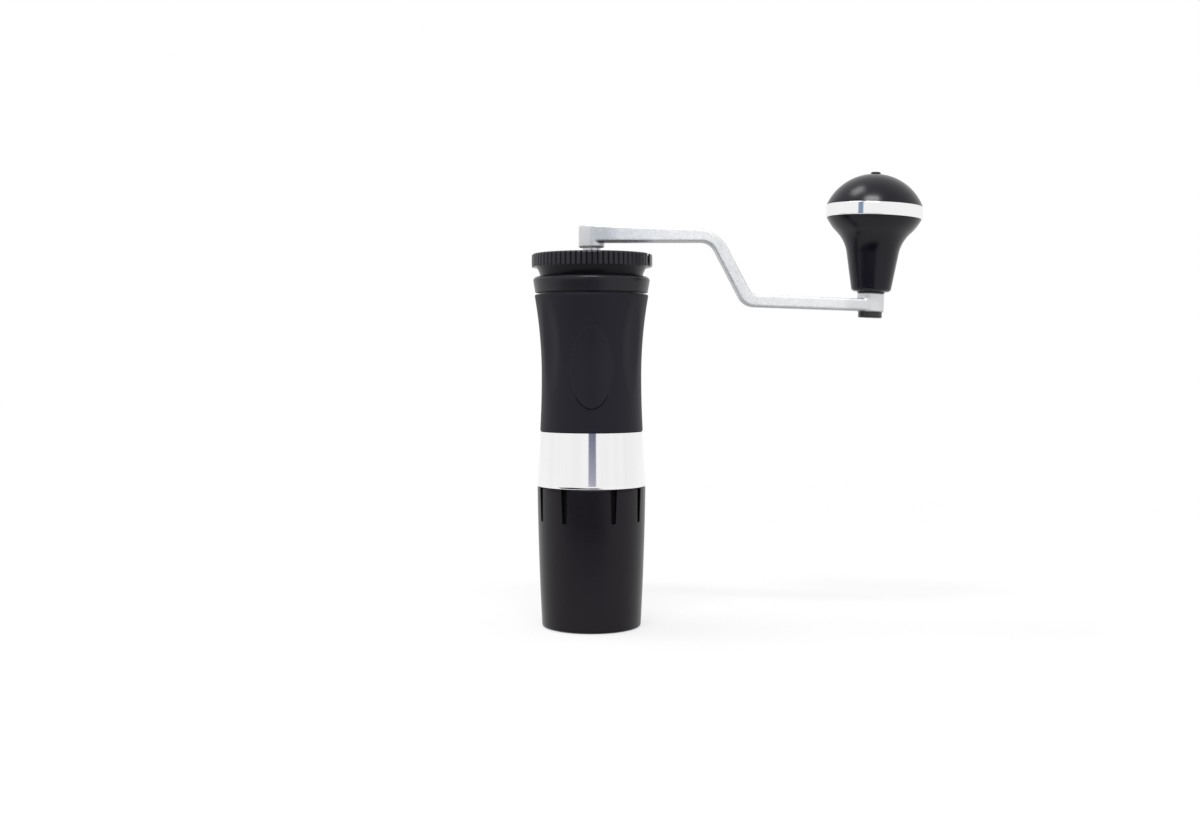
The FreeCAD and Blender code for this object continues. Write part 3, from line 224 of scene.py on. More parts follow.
def slotted_cup():
    """The cup's half section carried round the axis. Above the slots' ends, the slot columns of the outer
    side stand on the slot's floor, and those on an edge are drawn in by the bevel."""
    end = cup_rim - SLOT_LENGTH
    rows = half_section([
        (0, PAD_THICKNESS),
        (PAD_RECESS, PAD_THICKNESS),
        (PAD_RECESS, cup_foot),
        *foot_round(CUP_FOOT_RADIUS, cup_foot, CUP_FOOT_ROUND, CUP_SIDE_BOW, LEFT),
        *top_round(cup_rim_radius, cup_rim, CUP_RIM_ROUND),
        (CUP_MOUTH, cup_rim),
        (CUP_MOUTH, CUP_MOUTH_FLOOR),
        (CUP_INSIDE, CUP_MOUTH_FLOOR - CUP_MOUTH + CUP_INSIDE),
        (CUP_INSIDE, CUP_FLOOR + CUP_CORNER, CUP_CORNER, RIGHT),
        (CUP_INSIDE - CUP_CORNER, CUP_FLOOR),
        (0, CUP_FLOOR),
    ])
    first = np.argmax(rows[:, 1] > end)
    turn = np.linspace(0, math.pi / 2, SLOT_ROWS)
    level = end + SLOT_CORNER * (1 - np.cos(turn))
    around = rows[first - 1:first + 3]
    radius = np.interp(level, around[:, 1], around[:, 0])
    extra = np.column_stack([radius, level, np.zeros(SLOT_ROWS)])
    above = first + np.argmax(rows[first:, 1] > level[-1])
    rows = np.vstack([rows[:first], extra, rows[above:]])
    angle, depth = slot_columns(rows)
    floor = cup_rim_radius - SLOT_DEPTH
    outside = (np.arange(len(rows)) > first) & (rows[:, 1] > end) & (rows[:, 0] > floor)
    sunk = outside[:, None] & (depth > 0)
    radius = np.where(sunk, np.where(depth > 1, floor, rows[:, :1] - SLOT_BEVEL), rows[:, :1])
    # The quads of the slots take the second finish: painted shade.
    beside = sunk[:-1] | sunk[1:]
    lined = beside & np.roll(beside, -1, axis=1)
    return skin("catch_cup_shell", swept(radius, angle, rows[:, 1:2]), rows[:, 2:], lined)


def add(tree, kind, inputs=(), **settings):
    """A new node with its settings, whose inputs are given as values or as outputs to link from."""
    node = tree.nodes.new(kind)
    for name, amount in settings.items():
        setattr(node, name, amount)
    for socket, amount in dict(inputs).items():
        if isinstance(amount, bpy.types.NodeSocket):
            tree.links.new(amount, node.inputs[socket])
        else:
            node.inputs[socket].default_value = amount
    return node


def effect(name, inputs, outputs):
    """An empty shader node group with float inputs, each with its usual value, and float outputs."""
    group = bpy.data.node_groups.new(name, "ShaderNodeTree")
    for socket, amount in inputs.items():
        made = group.interface.new_socket(socket, in_out="INPUT", socket_type="NodeSocketFloat")
        made.default_value = amount
    for socket in outputs:
        group.interface.new_socket(socket, in_out="OUTPUT", socket_type="NodeSocketFloat")
    return group, add(group, "NodeGroupInput").outputs, add(group, "NodeGroupOutput").inputs


def object_place(tree):
    """The piece's own coordinates."""
    return add(tree, "ShaderNodeTexCoord").outputs["Object"]


def worked(tree, operation, first, second):
    """Two values worked into one: their sum, their product or the greater of them."""
    return add(tree, "ShaderNodeMath", {0: first, 1: second}, operation=operation).outputs[0]


def blasted_grain():
    """Fine even grain of a blasted or moulded face, and a slow mottle over several millimetres."""
    group, given, put = effect("blasted_grain", {"Grains": 1800, "Patches": 70}, ["Height", "Mottle"])
    place = object_place(group)
    for scale, detail, result in (("Grains", 3, "Height"), ("Patches", 2, "Mottle")):
        noise = {"Vector": place, "Scale": given[scale], "Detail": detail}
        group.links.new(add(group, "ShaderNodeTexNoise", noise).outputs[0], put[result])
    return group


def edge_rub():
    """Where rounded edges are rubbed: the edge mark of the piece, broken up by a coarse noise."""
    group, given, put = effect("edge_rub", {"Amount": 0.5}, ["Mask"])
    mark = add(group, "ShaderNodeAttribute", attribute_name="edge").outputs["Fac"]
    spots = {"Vector": object_place(group), "Scale": 420, "Detail": 4}
    rubbed = worked(group, "MULTIPLY", mark, add(group, "ShaderNodeTexNoise", spots).outputs[0])
    group.links.new(worked(group, "MULTIPLY", rubbed, given["Amount"]), put["Mask"])
    return group


GRAIN = blasted_grain()
RUB = edge_rub()


def surface(name, **constants):
    """A material with the constants set on its shader's own sockets. Returns material, tree and shader."""
    material = bpy.data.materials.new(name)
    material.use_nodes = True
    tree = material.node_tree
    shader = tree.nodes["Principled BSDF"]
    for socket, amount in constants.items():
        shader.inputs[socket.replace("_", " ")].default_value = amount
    return material, tree, shader


def blend(tree, share, low, high):
    """Colour between low and high, which are outputs or colours with alpha, by a share that changes over
    the surface."""
    return add(tree, "ShaderNodeMix", {0: share, 6: low, 7: high}, data_type="RGBA").outputs[2]


def tint(tree, share, low, high):
    """The same between two plain colours."""
    return blend(tree, share, (*low, 1), (*high, 1))


def spread(tree, share, low, high, start=0, end=1):
    """Value from low to high while a share that changes over the surface goes from start to end."""
    return add(tree, "ShaderNodeMapRange", {0: share, 1: start, 2: end, 3: low, 4: high}).outputs[0]


def group_of(tree, group, **values):
    """Place an effect in a material, with its own values."""
    node = add(tree, "ShaderNodeGroup", node_tree=group)
    for socket, amount in values.items():
        node.inputs[socket].default_value = amount
    return node.outputs


def relief(tree, shader, height, strength, depth):
    """Bump the shader's normal by a height that changes over the surface."""
    bump = add(tree, "ShaderNodeBump", {"Height": height, "Strength": strength, "Distance": depth})
    tree.links.new(bump.outputs[0], shader.inputs["Normal"])


def feed(tree, shader, **sockets):
    """Link outputs to the shader's sockets."""
    for socket, output in sockets.items():
        tree.links.new(output, shader.inputs[socket.replace("_", " ")])


def dress(piece, body, slot, finish, *nodes):
    """Give a new piece its finish and its body, and hide the CAD nodes that it stands for. Its slot is not
    used.
    """
    piece.data.materials.append(finish)
    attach(piece, body)
    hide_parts(*nodes)


def keep(finish, *nodes):
    """Give CAD nodes that stay as they are this finish."""
    for name in nodes:
        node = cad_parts[name]
        if not node.material_slots:
            node.data.materials.append(finish)
        for slot in node.material_slots:
            slot.material = finish


CUP_DARK = (0.0028, 0.0006, 0.0042)
CUP_LIGHT = (0.0042, 0.0014, 0.0058)
# Painted shade: colours of the slots' walls, darker than the cup's own anodising.
SLOT_SHADE_DARK = (0.0010, 0.0010, 0.0012)
SLOT_SHADE_LIGHT = (0.0022, 0.0020, 0.0026)


def grained(
    name, dark, light, specular, rough, grains, patches, strength, depth, rough_by="Mottle", rubbed=0,
):
    """A grained finish: its colour goes from dark to light by the mottle, its roughness over a range by
    mottle or grain, and the grain stands up as relief. Metal shines through where edges are rubbed."""
    material, tree, shader = surface(name, Specular_IOR_Level=specular)
    grain = group_of(tree, GRAIN, Grains=grains, Patches=patches)
    feed(
        tree, shader,
        Base_Color=tint(tree, grain["Mottle"], dark, light),
        Roughness=spread(tree, grain[rough_by], *rough),
    )
    if rubbed:
        feed(tree, shader, Metallic=group_of(tree, RUB, Amount=rubbed)["Mask"])
    relief(tree, shader, grain["Height"], strength, depth)
    return material


def satin_anodised(name, dark, light, specular):
    """Dark anodised aluminium: fine blasted grain, slow mottle and a little shine on rubbed edges."""
    return grained(
        name, dark, light, specular, rough=(0.26, 0.36), grains=2600, patches=55,
        strength=0.12, depth=0.05 * MM, rubbed=0.5,
    )


# Painted shade: the walls of milled slots and narrow gaps are dull, and their almost black colour stands in
# for the shade in them.
PAINTED_SHADE_BLACK = grained(
    "painted_shade_black", SLOT_SHADE_DARK, SLOT_SHADE_LIGHT, specular=0.08, rough=(0.55, 0.8), rough_by="Height",
    grains=1500, patches=200, strength=0.2, depth=0.05 * MM,
)
cup_shell = slotted_cup()
CUP_SATIN = satin_anodised("cup_anodised", CUP_DARK, CUP_LIGHT, specular=0.245)
dress(cup_shell, "cup", "dark_satin", CUP_SATIN, "catch_cup")
# The second finish paints shade into the slots.
cup_shell.data.materials.append(PAINTED_SHADE_BLACK)

# Base pad and seals: a flat rubber disc glued into the foot of the cup, and the soft rings that hold the
# cup and the lid by friction. All are moulded rubber with a dull face.
RUBBER_DARK = (0.012, 0.012, 0.012)
RUBBER_LIGHT = (0.022, 0.022, 0.021)
MOULDED_RUBBER = grained(
    "moulded_rubber", RUBBER_DARK, RUBBER_LIGHT, specular=0.3, rough=(0.6, 0.85), rough_by="Height",
    grains=1100, patches=90, strength=0.3, depth=0.08 * MM,
)
keep(MOULDED_RUBBER, "base_pad", "cup_seal", "lid_seal")

# Burr housing: a ring turned from one bar of aluminium, with the spigot for the cup, the seat of the
# burr and the band that shows between cup and grip. The band is polished to a mirror.
band_low, band_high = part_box("burr_housing")
spigot_foot = band_low[2]
grip_foot = band_high[2]
band_radius = band_high[0]
BAND_TOP_RADIUS = 23.2 * MM
PARTING_GAP = 0.2 * MM
BAND_EDGE = 0.35 * MM
SPIGOT_RADIUS = 21.7 * MM
SPIGOT_CHAMFER = 0.8 * MM
SEAL_GROOVE = 20.09 * MM
SEAL_GROOVE_FOOT = 4.95 * MM
SEAL_GROOVE_TOP = 6.85 * MM
TUBE_INSIDE = 19.0 * MM
TUBE_SEAT_RADIUS = 20.55 * MM
TUBE_SEAT = 78.1 * MM
LIP_RADIUS = 17.2 * MM
LIP_FOOT = 67.5 * MM
LIP_TOP = 69.5 * MM


def ring_groove(radius, floor, low, high):
    """Four corners of a square groove round a stud, down to the radius of its floor."""
    return [(radius, low), (floor, low), (floor, high), (radius, high)]


def turned_housing():
    """Half section of spigot, band and burr seat, carried round the axis."""
    band_foot = cup_rim + PARTING_GAP
    seal_foot, seal_top = spigot_foot + SEAL_GROOVE_FOOT, spigot_foot + SEAL_GROOVE_TOP
    return turned("burr_housing_ring", [
        (TUBE_INSIDE, spigot_foot),
        (SPIGOT_RADIUS - SPIGOT_CHAMFER, spigot_foot),
        (SPIGOT_RADIUS, spigot_foot + SPIGOT_CHAMFER),
        *ring_groove(SPIGOT_RADIUS, SEAL_GROOVE, seal_foot, seal_top),
        (SPIGOT_RADIUS, band_foot),
        *foot_round(band_radius, band_foot, BAND_EDGE),
        (BAND_TOP_RADIUS, grip_foot),
        (TUBE_SEAT_RADIUS, grip_foot),
        (TUBE_SEAT_RADIUS, TUBE_SEAT),
        (TUBE_INSIDE, TUBE_SEAT),
        (TUBE_INSIDE, LIP_TOP),
        (LIP_RADIUS, LIP_TOP),
        (LIP_RADIUS, LIP_FOOT),
        (TUBE_INSIDE, LIP_FOOT),
    ])


def turning_marks():
    """Rings left by the lathe, as a noise along the axis, and faint upright streaks left by the polishing
    cloth, as a noise over the direction from the axis."""
    group, given, put = effect("turning_marks", {"Rings": 4000, "Streaks": 9}, ["Height", "Streak"])
    parts = add(group, "ShaderNodeSeparateXYZ", {0: object_place(group)}).outputs
    rings = {"W": parts["Z"], "Scale": given["Rings"], "Detail": 2}
    rings = add(group, "ShaderNodeTexNoise", rings, noise_dimensions="1D")
    flat = add(group, "ShaderNodeCombineXYZ", {0: parts["X"], 1: parts["Y"]}).outputs[0]
    way = add(group, "ShaderNodeVectorMath", {0: flat}, operation="NORMALIZE").outputs[0]
    streaks = add(group, "ShaderNodeTexNoise", {"Vector": way, "Scale": given["Streaks"], "Detail": 3})
    group.links.new(rings.outputs[0], put["Height"])
    group.links.new(streaks.outputs[0], put["Streak"])
    return group


TURNING = turning_marks()
POLISH_DARK = (0.80, 0.80, 0.81)
POLISH_LIGHT = (0.93, 0.93, 0.925)


def lathe_turned(
    name, dark, light, rings, rough, rough_by="Height", streaks=14, strength=0.15, depth=0.03 * MM,
):
    """Bare metal off the lathe: its colour goes from dark to light by the streaks, its roughness over a
    range by rings or streaks, and the rings stand up as relief."""
    material, tree, shader = surface(name, Metallic=1)
    marks = group_of(tree, TURNING, Rings=rings, Streaks=streaks)
    feed(
        tree, shader,
        Base_Color=tint(tree, marks["Streak"], dark, light),
        Roughness=spread(tree, marks[rough_by], *rough),
    )
    relief(tree, shader, marks["Height"], strength, depth)
    return material


# Mirror polish: barely rough, with faint lathe rings and streaks from the cloth.
POLISHED = lathe_turned(
    "polished_aluminium", POLISH_DARK, POLISH_LIGHT, rings=5200, rough=(0.05, 0.11), rough_by="Streak",
    streaks=6, strength=0.02, depth=0.01 * MM,
)
dress(turned_housing(), "barrel", "polished_metal", POLISHED, "burr_housing")

# Barrel tube and the mechanism in it: the hopper tube, two three-armed bearing carriers, the bearings, the
# burrs with their adjuster, and the shaft. The CAD shapes stay, in machined aluminium and ground steel.
MACHINED_DARK = (0.58, 0.58, 0.59)
MACHINED_LIGHT = (0.74, 0.74, 0.74)
STEEL_DARK = (0.42, 0.42, 0.43)
STEEL_LIGHT = (0.62, 0.62, 0.62)
MACHINED = lathe_turned(
    "machined_aluminium", MACHINED_DARK, MACHINED_LIGHT, rings=3000, rough=(0.25, 0.42),
)
STEEL = lathe_turned("ground_steel", STEEL_DARK, STEEL_LIGHT, rings=6500, rough=(0.16, 0.32))
keep(MACHINED, "barrel_tube", "upper_carrier", "lower_carrier", "burr_retainer", "adjuster_dial")
BEARING_PARTS = [
    f"{end}_bearing_{part}" for end in ("upper", "lower") for part in ("outer", "inner", "balls")
]
BURR_PARTS = ["ring_burr", "cone_burr", "click_plate", "burr_spring"]
SHAFT_PARTS = ["drive_shaft", "drive_pin", "shaft_clip", "shaft_end_screw"]
keep(STEEL, *BEARING_PARTS, *BURR_PARTS, *SHAFT_PARTS)

# Grip sleeve: a waisted sleeve moulded in soft-touch black plastic and pushed over the tube. Four shallow
# finger flutes are scooped out of its waist, two at the front and two at the back.
grip_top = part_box("grip_sleeve")[1][2]
grip_top_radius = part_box("grip_sleeve")[1][0]
GRIP_FOOT_RADIUS = 23.15 * MM
GRIP_WAIST_RADIUS = 22.5 * MM
GRIP_WAIST_RISE = 24.9 * MM
GRIP_EDGE = 0.7 * MM
FLUTE_TURNS = np.radians([52, 128, 232, 308])
FLUTE_RISE = 31.9 * MM
FLUTE_AWAY = 41.95 * MM
FLUTE_REACH = 20.0 * MM
FLUTE_SPREAD = 32.0 * MM
FLUTE_LENGTH = 47.5 * MM
FLUTE_BLEND = 0.6 * MM
GRIP_COLUMNS = 288
grip_waist = grip_foot + GRIP_WAIST_RISE


def arc_radius(rise, half_chord):
    """Radius of the arc that rises by this much over half its chord."""
    return (rise ** 2 + half_chord ** 2) / (2 * rise)


def fluted(radius, angle, height):
    """Radius of the grip with its flutes: the lesser of the sleeve's radius and the distance along the same
    spoke to each flute's ellipsoid, eased into each other over FLUTE_BLEND.

    The spoke meets the ellipsoid where a quadratic in the distance is zero: its terms are the squares of
    the radial, tangential and upright offsets from the centre, each over its semi-axis squared.
    """
    for turn in FLUTE_TURNS:
        away = np.cos(angle - turn)
        aside = np.sin(angle - turn)
        rise = (height - grip_foot - FLUTE_RISE) / FLUTE_LENGTH
        square = (away / FLUTE_REACH) ** 2 + (aside / FLUTE_SPREAD) ** 2
        half = FLUTE_AWAY * away / FLUTE_REACH ** 2
        rest = (FLUTE_AWAY / FLUTE_REACH) ** 2 + rise ** 2 - 1
        under_root = half ** 2 - square * rest
        meets = (under_root > 0) & (away > 0)
        scoop = (half - np.sqrt(np.where(meets, under_root, 0))) / square
        scoop = np.where(meets, scoop, radius + FLUTE_BLEND)
        share = np.clip(0.5 + 0.5 * (scoop - radius) / FLUTE_BLEND, 0, 1)
        radius = scoop * (1 - share) + radius * share - FLUTE_BLEND * share * (1 - share)
    return radius


def grip_side():
    """Corners of the grip's outer side from foot to top: two hollow arcs that meet upright at the waist."""
    lower = arc_radius(GRIP_FOOT_RADIUS - GRIP_WAIST_RADIUS, GRIP_WAIST_RISE - GRIP_EDGE)
    upper = arc_radius(grip_top_radius - GRIP_WAIST_RADIUS, grip_top - grip_waist - GRIP_EDGE)
    return [
        (GRIP_FOOT_RADIUS, grip_foot + GRIP_EDGE, lower, RIGHT),
        (GRIP_WAIST_RADIUS, grip_waist, upper, RIGHT),
        (grip_top_radius, grip_top - GRIP_EDGE),
    ]


def waisted_sleeve():
    """The sleeve's half section carried round the axis, with the flutes taken off its outer side."""
    side = grip_side()
    rows = half_section([
        (TUBE_SEAT_RADIUS, grip_foot),
        (GRIP_FOOT_RADIUS - GRIP_EDGE, grip_foot, GRIP_EDGE, LEFT),
        *side[:2],
        (*side[2], GRIP_EDGE, LEFT),
        (grip_top_radius - GRIP_EDGE, grip_top),
        (TUBE_SEAT_RADIUS, grip_top),
    ])
    angle = round_angles(GRIP_COLUMNS)[None, :]
    radius = fluted(rows[:, :1], angle, rows[:, 1:2])
    return skin("grip_sleeve_skin", swept(radius, angle, rows[:, 1:2]), rows[:, 2:])


GRIP_DARK = (0.0110, 0.0104, 0.0160)
GRIP_LIGHT = (0.0138, 0.0131, 0.0200)
SOFT_TOUCH = grained(
    "soft_touch", GRIP_DARK, GRIP_LIGHT, specular=0.15, rough=(0.45, 0.55),
    grains=3200, patches=45, strength=0.1, depth=0.04 * MM,
)
dress(waisted_sleeve(), "barrel", "soft_black", SOFT_TOUCH, "grip_sleeve")

# Badge plate: a bare oval plate let into the front of the grip. Its head lies almost flush. Its foot stands
# proud over a narrow gap, whose shade is painted on as a dark arc.
BADGE_RISE = 29.0 * MM
BADGE_HALF_WIDTH = 9.5 * MM
BADGE_HALF_HEIGHT = 18.2 * MM
BADGE_HEAD_PROUD = 0.08 * MM
BADGE_FOOT_PROUD = 0.45 * MM
BADGE_SWELL = 3
# The gap under the plate's foot is a flat dark strip of painted shade, at most this wide.
BADGE_GAP_SHADE = 0.42 * MM
BADGE_GAP_SHADE_START = 0.8
BADGE_GAP_SHADE_FULL = 0.9
BADGE_GAP_LIFT = 0.015 * MM
BADGE_SINK = 0.9 * MM
BADGE_RIM = 0.5 * MM
BADGE_RINGS = 24
BADGE_RIM_ROWS = 8
BADGE_COLUMNS = 128


def side_radius(height):
    """The plain grip's radius at a height, read off its outer side."""
    side = grip_side()
    rows = np.vstack([stretch(corner[:2], end[:2], *corner[2:]) for corner, end in zip(side, side[1:])])
    return np.interp(height, rows[:, 1], rows[:, 0])


def oval_plate():
    """Rings of an ellipse from the middle out over the rim and back behind. Each point stands off the
    grip's own surface by the plate's proud height, which grows from head to foot and falls away over a
    quarter round at the rim, and lies below it by the plate's sink behind. One more ring at the foot is
    the gap's painted shade: a flat dark strip whose width grows from nothing at the sides."""
    out = np.linspace(0, 1, BADGE_RINGS)
    turn = np.linspace(0, math.pi / 2, BADGE_RIM_ROWS)
    rim_start = 1 - BADGE_RIM / BADGE_HALF_WIDTH
    ring = np.concatenate([out * rim_start, rim_start + (1 - rim_start) * np.sin(turn[1:]), [1], out[::-1]])
    rim = np.append(np.cos(turn[1:]), 0)
    lift = np.concatenate([np.ones(BADGE_RINGS), rim, np.zeros(BADGE_RINGS)])[:, None]
    sink = np.concatenate([np.zeros(len(lift) - BADGE_RINGS), np.ones(BADGE_RINGS)])[:, None]
    # The last rim ring is the strip of painted shade for the gap.
    gap_shade_row = np.arange(len(lift))[:, None] == BADGE_RINGS + BADGE_RIM_ROWS - 1
    around = round_angles(BADGE_COLUMNS)
    lower = (1 - ring[:, None] * np.cos(around)) / 2
    opening = (lower - BADGE_GAP_SHADE_START) / (BADGE_GAP_SHADE_FULL - BADGE_GAP_SHADE_START)
    gap = BADGE_GAP_SHADE * gap_shade_row * np.clip(opening, 0, 1)
    across = (ring[:, None] * BADGE_HALF_WIDTH + gap) * np.sin(around)
    height = grip_foot + BADGE_RISE + (ring[:, None] * BADGE_HALF_HEIGHT + gap) * np.cos(around)
    angle = np.arcsin(across / side_radius(height))
    proud = BADGE_HEAD_PROUD + (BADGE_FOOT_PROUD - BADGE_HEAD_PROUD) * lower ** BADGE_SWELL
    stand = lift * proud + (1 - sink) * BADGE_GAP_LIFT - sink * BADGE_SINK
    radius = fluted(side_radius(height), angle, height) + stand
    mark = (lift > 0) & (lift < 1)
    lined = np.broadcast_to(gap_shade_row[1:], (len(lift) - 1, BADGE_COLUMNS))
    return skin("badge_plate_face", swept(radius, angle, height), mark, lined)


BADGE_DARK = (0.0116, 0.0109, 0.0168)
BADGE_LIGHT = (0.0144, 0.0137, 0.0208)
BADGE_LACQUER = grained(
    "badge_lacquer", BADGE_DARK, BADGE_LIGHT, specular=0.17, rough=(0.36, 0.46),
    grains=2400, patches=80, strength=0.06, depth=0.03 * MM,
)
badge_face = oval_plate()
dress(badge_face, "barrel", "badge_black", BADGE_LACQUER, "badge_plate")
# The second finish paints the shade of the gap at the plate's foot.
badge_face.data.materials.append(PAINTED_SHADE_BLACK)

# Top collar: a rounded ring in the cup's dark satin finish, pushed round the head of the tube. A narrow
# step under it leaves a shadow gap above the grip.
collar_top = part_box("top_collar")[1][2]
collar_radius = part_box("top_collar")[1][0]
COLLAR_GAP = 0.8 * MM
COLLAR_GAP_RADIUS = 23.0 * MM
COLLAR_FOOT_RADIUS = 25.45 * MM
COLLAR_MOUTH_RADIUS = 23.75 * MM
COLLAR_SHOULDER = 1.5 * MM
COLLAR_SHOULDER_ROUND = 2.2 * MM


def rounded_collar():
    """Half section of the collar: the step of the gap, a slow flare and a rounded shoulder."""
    foot = grip_top + COLLAR_GAP
    return turned("top_collar_ring", [
        (TUBE_SEAT_RADIUS, grip_top),
        (COLLAR_GAP_RADIUS, grip_top),
        (COLLAR_GAP_RADIUS, foot),
        *foot_round(COLLAR_FOOT_RADIUS, foot, BAND_EDGE),
        (collar_radius, collar_top - COLLAR_SHOULDER, COLLAR_SHOULDER_ROUND, LEFT),
        (COLLAR_MOUTH_RADIUS, collar_top),
        (TUBE_SEAT_RADIUS, collar_top),
    ])


COLLAR_DARK = (0.0098, 0.0086, 0.0130)
COLLAR_LIGHT = (0.0126, 0.0112, 0.0165)
COLLAR_ANODISED = satin_anodised("collar_anodised", COLLAR_DARK, COLLAR_LIGHT, specular=0.27)
dress(rounded_collar(), "barrel", "dark_satin", COLLAR_ANODISED, "top_collar")

# Lid: a concave neck with a plug that closes the tube, under a ribbed cap. A smooth tab stands among the
# ribs, freed from the rim by a slit. Both are moulded in black plastic, and a steel bush carries the shaft.
plug_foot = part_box("lid_neck")[0][2]
lid_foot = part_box("lid_cap")[0][2]
lid_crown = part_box("lid_cap")[1][2]
LID_RADIUS = 27.0 * MM
LID_CROWN_RISE = 1.0 * MM
LID_EDGE = 1.2 * MM
LID_CHAMFER = 0.15 * MM
BUSH_HOLE = 5.86 * MM
BUSH_FLANGE = 6.41 * MM
NECK_FOOT_RADIUS = 23.15 * MM
NECK_TOP_RADIUS = 25.0 * MM
NECK_HOLLOW = 9.0 * MM
NECK_DECK = 3.0 * MM
PLUG_RADIUS = 18.7 * MM
PLUG_INSIDE = 16.3 * MM
LID_SEAL_GROOVE = 17.19 * MM
LID_SEAL_FOOT = 1.15 * MM
LID_SEAL_TOP = 2.95 * MM
RIB_COUNT = 61
RIB_PITCH = math.radians(5.14)
RIB_START = math.radians(114.28)
RIB_DEPTH = 0.7 * MM
RIB_HALF_GROOVE = 0.6 * MM
RIB_COLUMNS = 16
TAB_SLIT = 25.05 * MM
TAB_INSIDE = 25.35 * MM
TAB_RADIUS = 27.5 * MM
TAB_HALF_WIDTH = 8.6 * MM
TAB_FOOT = 1.2 * MM
TAB_LEDGE = 0.02 * MM
TAB_CLEAR = 0.1 * MM
TAB_DROP = 0.3 * MM
TAB_EDGE = 0.7 * MM
TAB_END = 0.25 * MM
TAB_ROWS = 41
TAB_COLUMNS = 120
CORNER_COLUMNS = 7
LEAST_SINE = 0.02


def lid_neck_ring():
    """Half section of plug, seal groove and hollow neck, carried round the axis."""
    neck_foot = collar_top + PARTING_GAP
    deck = lid_foot - NECK_DECK
    return turned("lid_neck_ring", [
        (PLUG_INSIDE, plug_foot),
        (PLUG_RADIUS, plug_foot),
        *ring_groove(PLUG_RADIUS, LID_SEAL_GROOVE, plug_foot + LID_SEAL_FOOT, plug_foot + LID_SEAL_TOP),
        (PLUG_RADIUS, neck_foot),
        (NECK_FOOT_RADIUS, neck_foot, NECK_HOLLOW, RIGHT),
        (NECK_TOP_RADIUS, lid_foot),
        (BUSH_HOLE, lid_foot),
        (BUSH_HOLE, deck),
        (PLUG_INSIDE, deck),
    ])


def groove_depth(angle):
    """How far the lid's rim is cut in at an angle: a smooth round groove between each two ribs, whose depth
    falls from its middle as the square of a cosine."""
    from_start = (angle - RIB_START) % (2 * math.pi)
    nearest = np.clip(np.round(from_start / RIB_PITCH), 0, RIB_COUNT - 1)
    beside = np.minimum(np.abs(from_start - nearest * RIB_PITCH) * LID_RADIUS, RIB_HALF_GROOVE)
    return RIB_DEPTH * np.cos(beside / RIB_HALF_GROOVE * math.pi / 2) ** 2


def ribbed_rim():
    """The cap's half section carried round the axis, held in at each angle to the depth of its groove
    there. Above the tab's foot it also ends at the flat behind the tab: a radius of TAB_SLIT over the
    angle's sine."""
    shoulder = lid_crown - LID_CROWN_RISE
    tab_foot = lid_foot + TAB_FOOT
    rows = half_section([
        (BUSH_HOLE, lid_foot),
        (LID_RADIUS - LID_CHAMFER, lid_foot),
        (LID_RADIUS, lid_foot + LID_CHAMFER),
        (LID_RADIUS, tab_foot),
        (LID_RADIUS, tab_foot + TAB_LEDGE),
        *top_round(LID_RADIUS, shoulder, LID_EDGE),
        (BUSH_FLANGE, lid_crown),
        (BUSH_HOLE, lid_crown),
    ])
    ribs = RIB_START + RIB_PITCH * np.arange(-1, (RIB_COUNT - 1) * RIB_COLUMNS + 2) / RIB_COLUMNS
    rest = np.linspace(ribs[-1], ribs[0] + 2 * math.pi, TAB_COLUMNS)[1:-1]
    angle = np.concatenate([ribs, rest])[None, :]
    radius = np.minimum(rows[:, :1], LID_RADIUS - groove_depth(angle))
    flat = TAB_SLIT / np.maximum(np.sin(angle), LEAST_SINE)
    radius = np.where(rows[:, 1:2] > tab_foot, np.minimum(radius, flat), radius)
    return skin("ribbed_rim", swept(radius, angle, rows[:, 1:2]), rows[:, 2:])


def rounded_frame(half_across, half_up, edge):
    """Points round a rectangle with quarter rounds at its corners, across and up from its middle."""
    quarter = np.linspace(0, math.pi / 2, CORNER_COLUMNS)
    angle = (quarter[None, :] + np.arange(4)[:, None] * math.pi / 2).ravel()
    side = np.repeat([1, -1, -1, 1], CORNER_COLUMNS)
    face = np.repeat([1, 1, -1, -1], CORNER_COLUMNS)
    across = side * (half_across - edge) + edge * np.cos(angle)
    return across, face * (half_up - edge) + edge * np.sin(angle)


def capped(name, grid):
    """A skin over rows of points whose first and last rows are closed to their own middles."""
    caps = np.broadcast_to(grid[[0, -1]].mean(axis=1, keepdims=True), (2, *grid.shape[1:]))
    return skin(name, np.concatenate([caps[:1], grid, caps[1:]]), 0)


def rim_tab():
    """A rounded rectangle carried along the tab: flat on the inside, on an arc about the lid's axis on the
    outside, and drawn in by a quarter round at both ends."""
    along = TAB_HALF_WIDTH * np.sin(np.linspace(-math.pi / 2, math.pi / 2, TAB_ROWS))[:, None]
    beyond = np.clip((np.abs(along) - TAB_HALF_WIDTH) / TAB_END + 1, 0, 1)
    inset = TAB_END * (1 - np.sqrt(1 - beyond ** 2))
    outside = np.sqrt(TAB_RADIUS ** 2 - along ** 2)
    foot = lid_foot + TAB_CLEAR
    top = lid_crown - LID_CROWN_RISE - TAB_DROP
    half = (outside - TAB_INSIDE) / 2 - inset
    across, up = rounded_frame(half, (top - foot) / 2 - inset, np.minimum(TAB_EDGE, half))
    across = (outside + TAB_INSIDE) / 2 + across
    points = np.broadcast_arrays(across, along, (top + foot) / 2 + up)
    return capped("rim_tab", np.stack(points, axis=-1))


def joined(name, *pieces):
    """The closed shells of one moulding or casting, in one mesh."""
    shells = bmesh.new()
    for piece in pieces:
        shells.from_mesh(piece.data)
        bpy.data.objects.remove(piece)
    mesh = bpy.data.meshes.new(name)
    shells.to_mesh(mesh)
    shells.free()
    return finished(name, mesh)


LID_DARK = (0.0104, 0.0096, 0.0146)
LID_LIGHT = (0.0134, 0.0124, 0.0184)
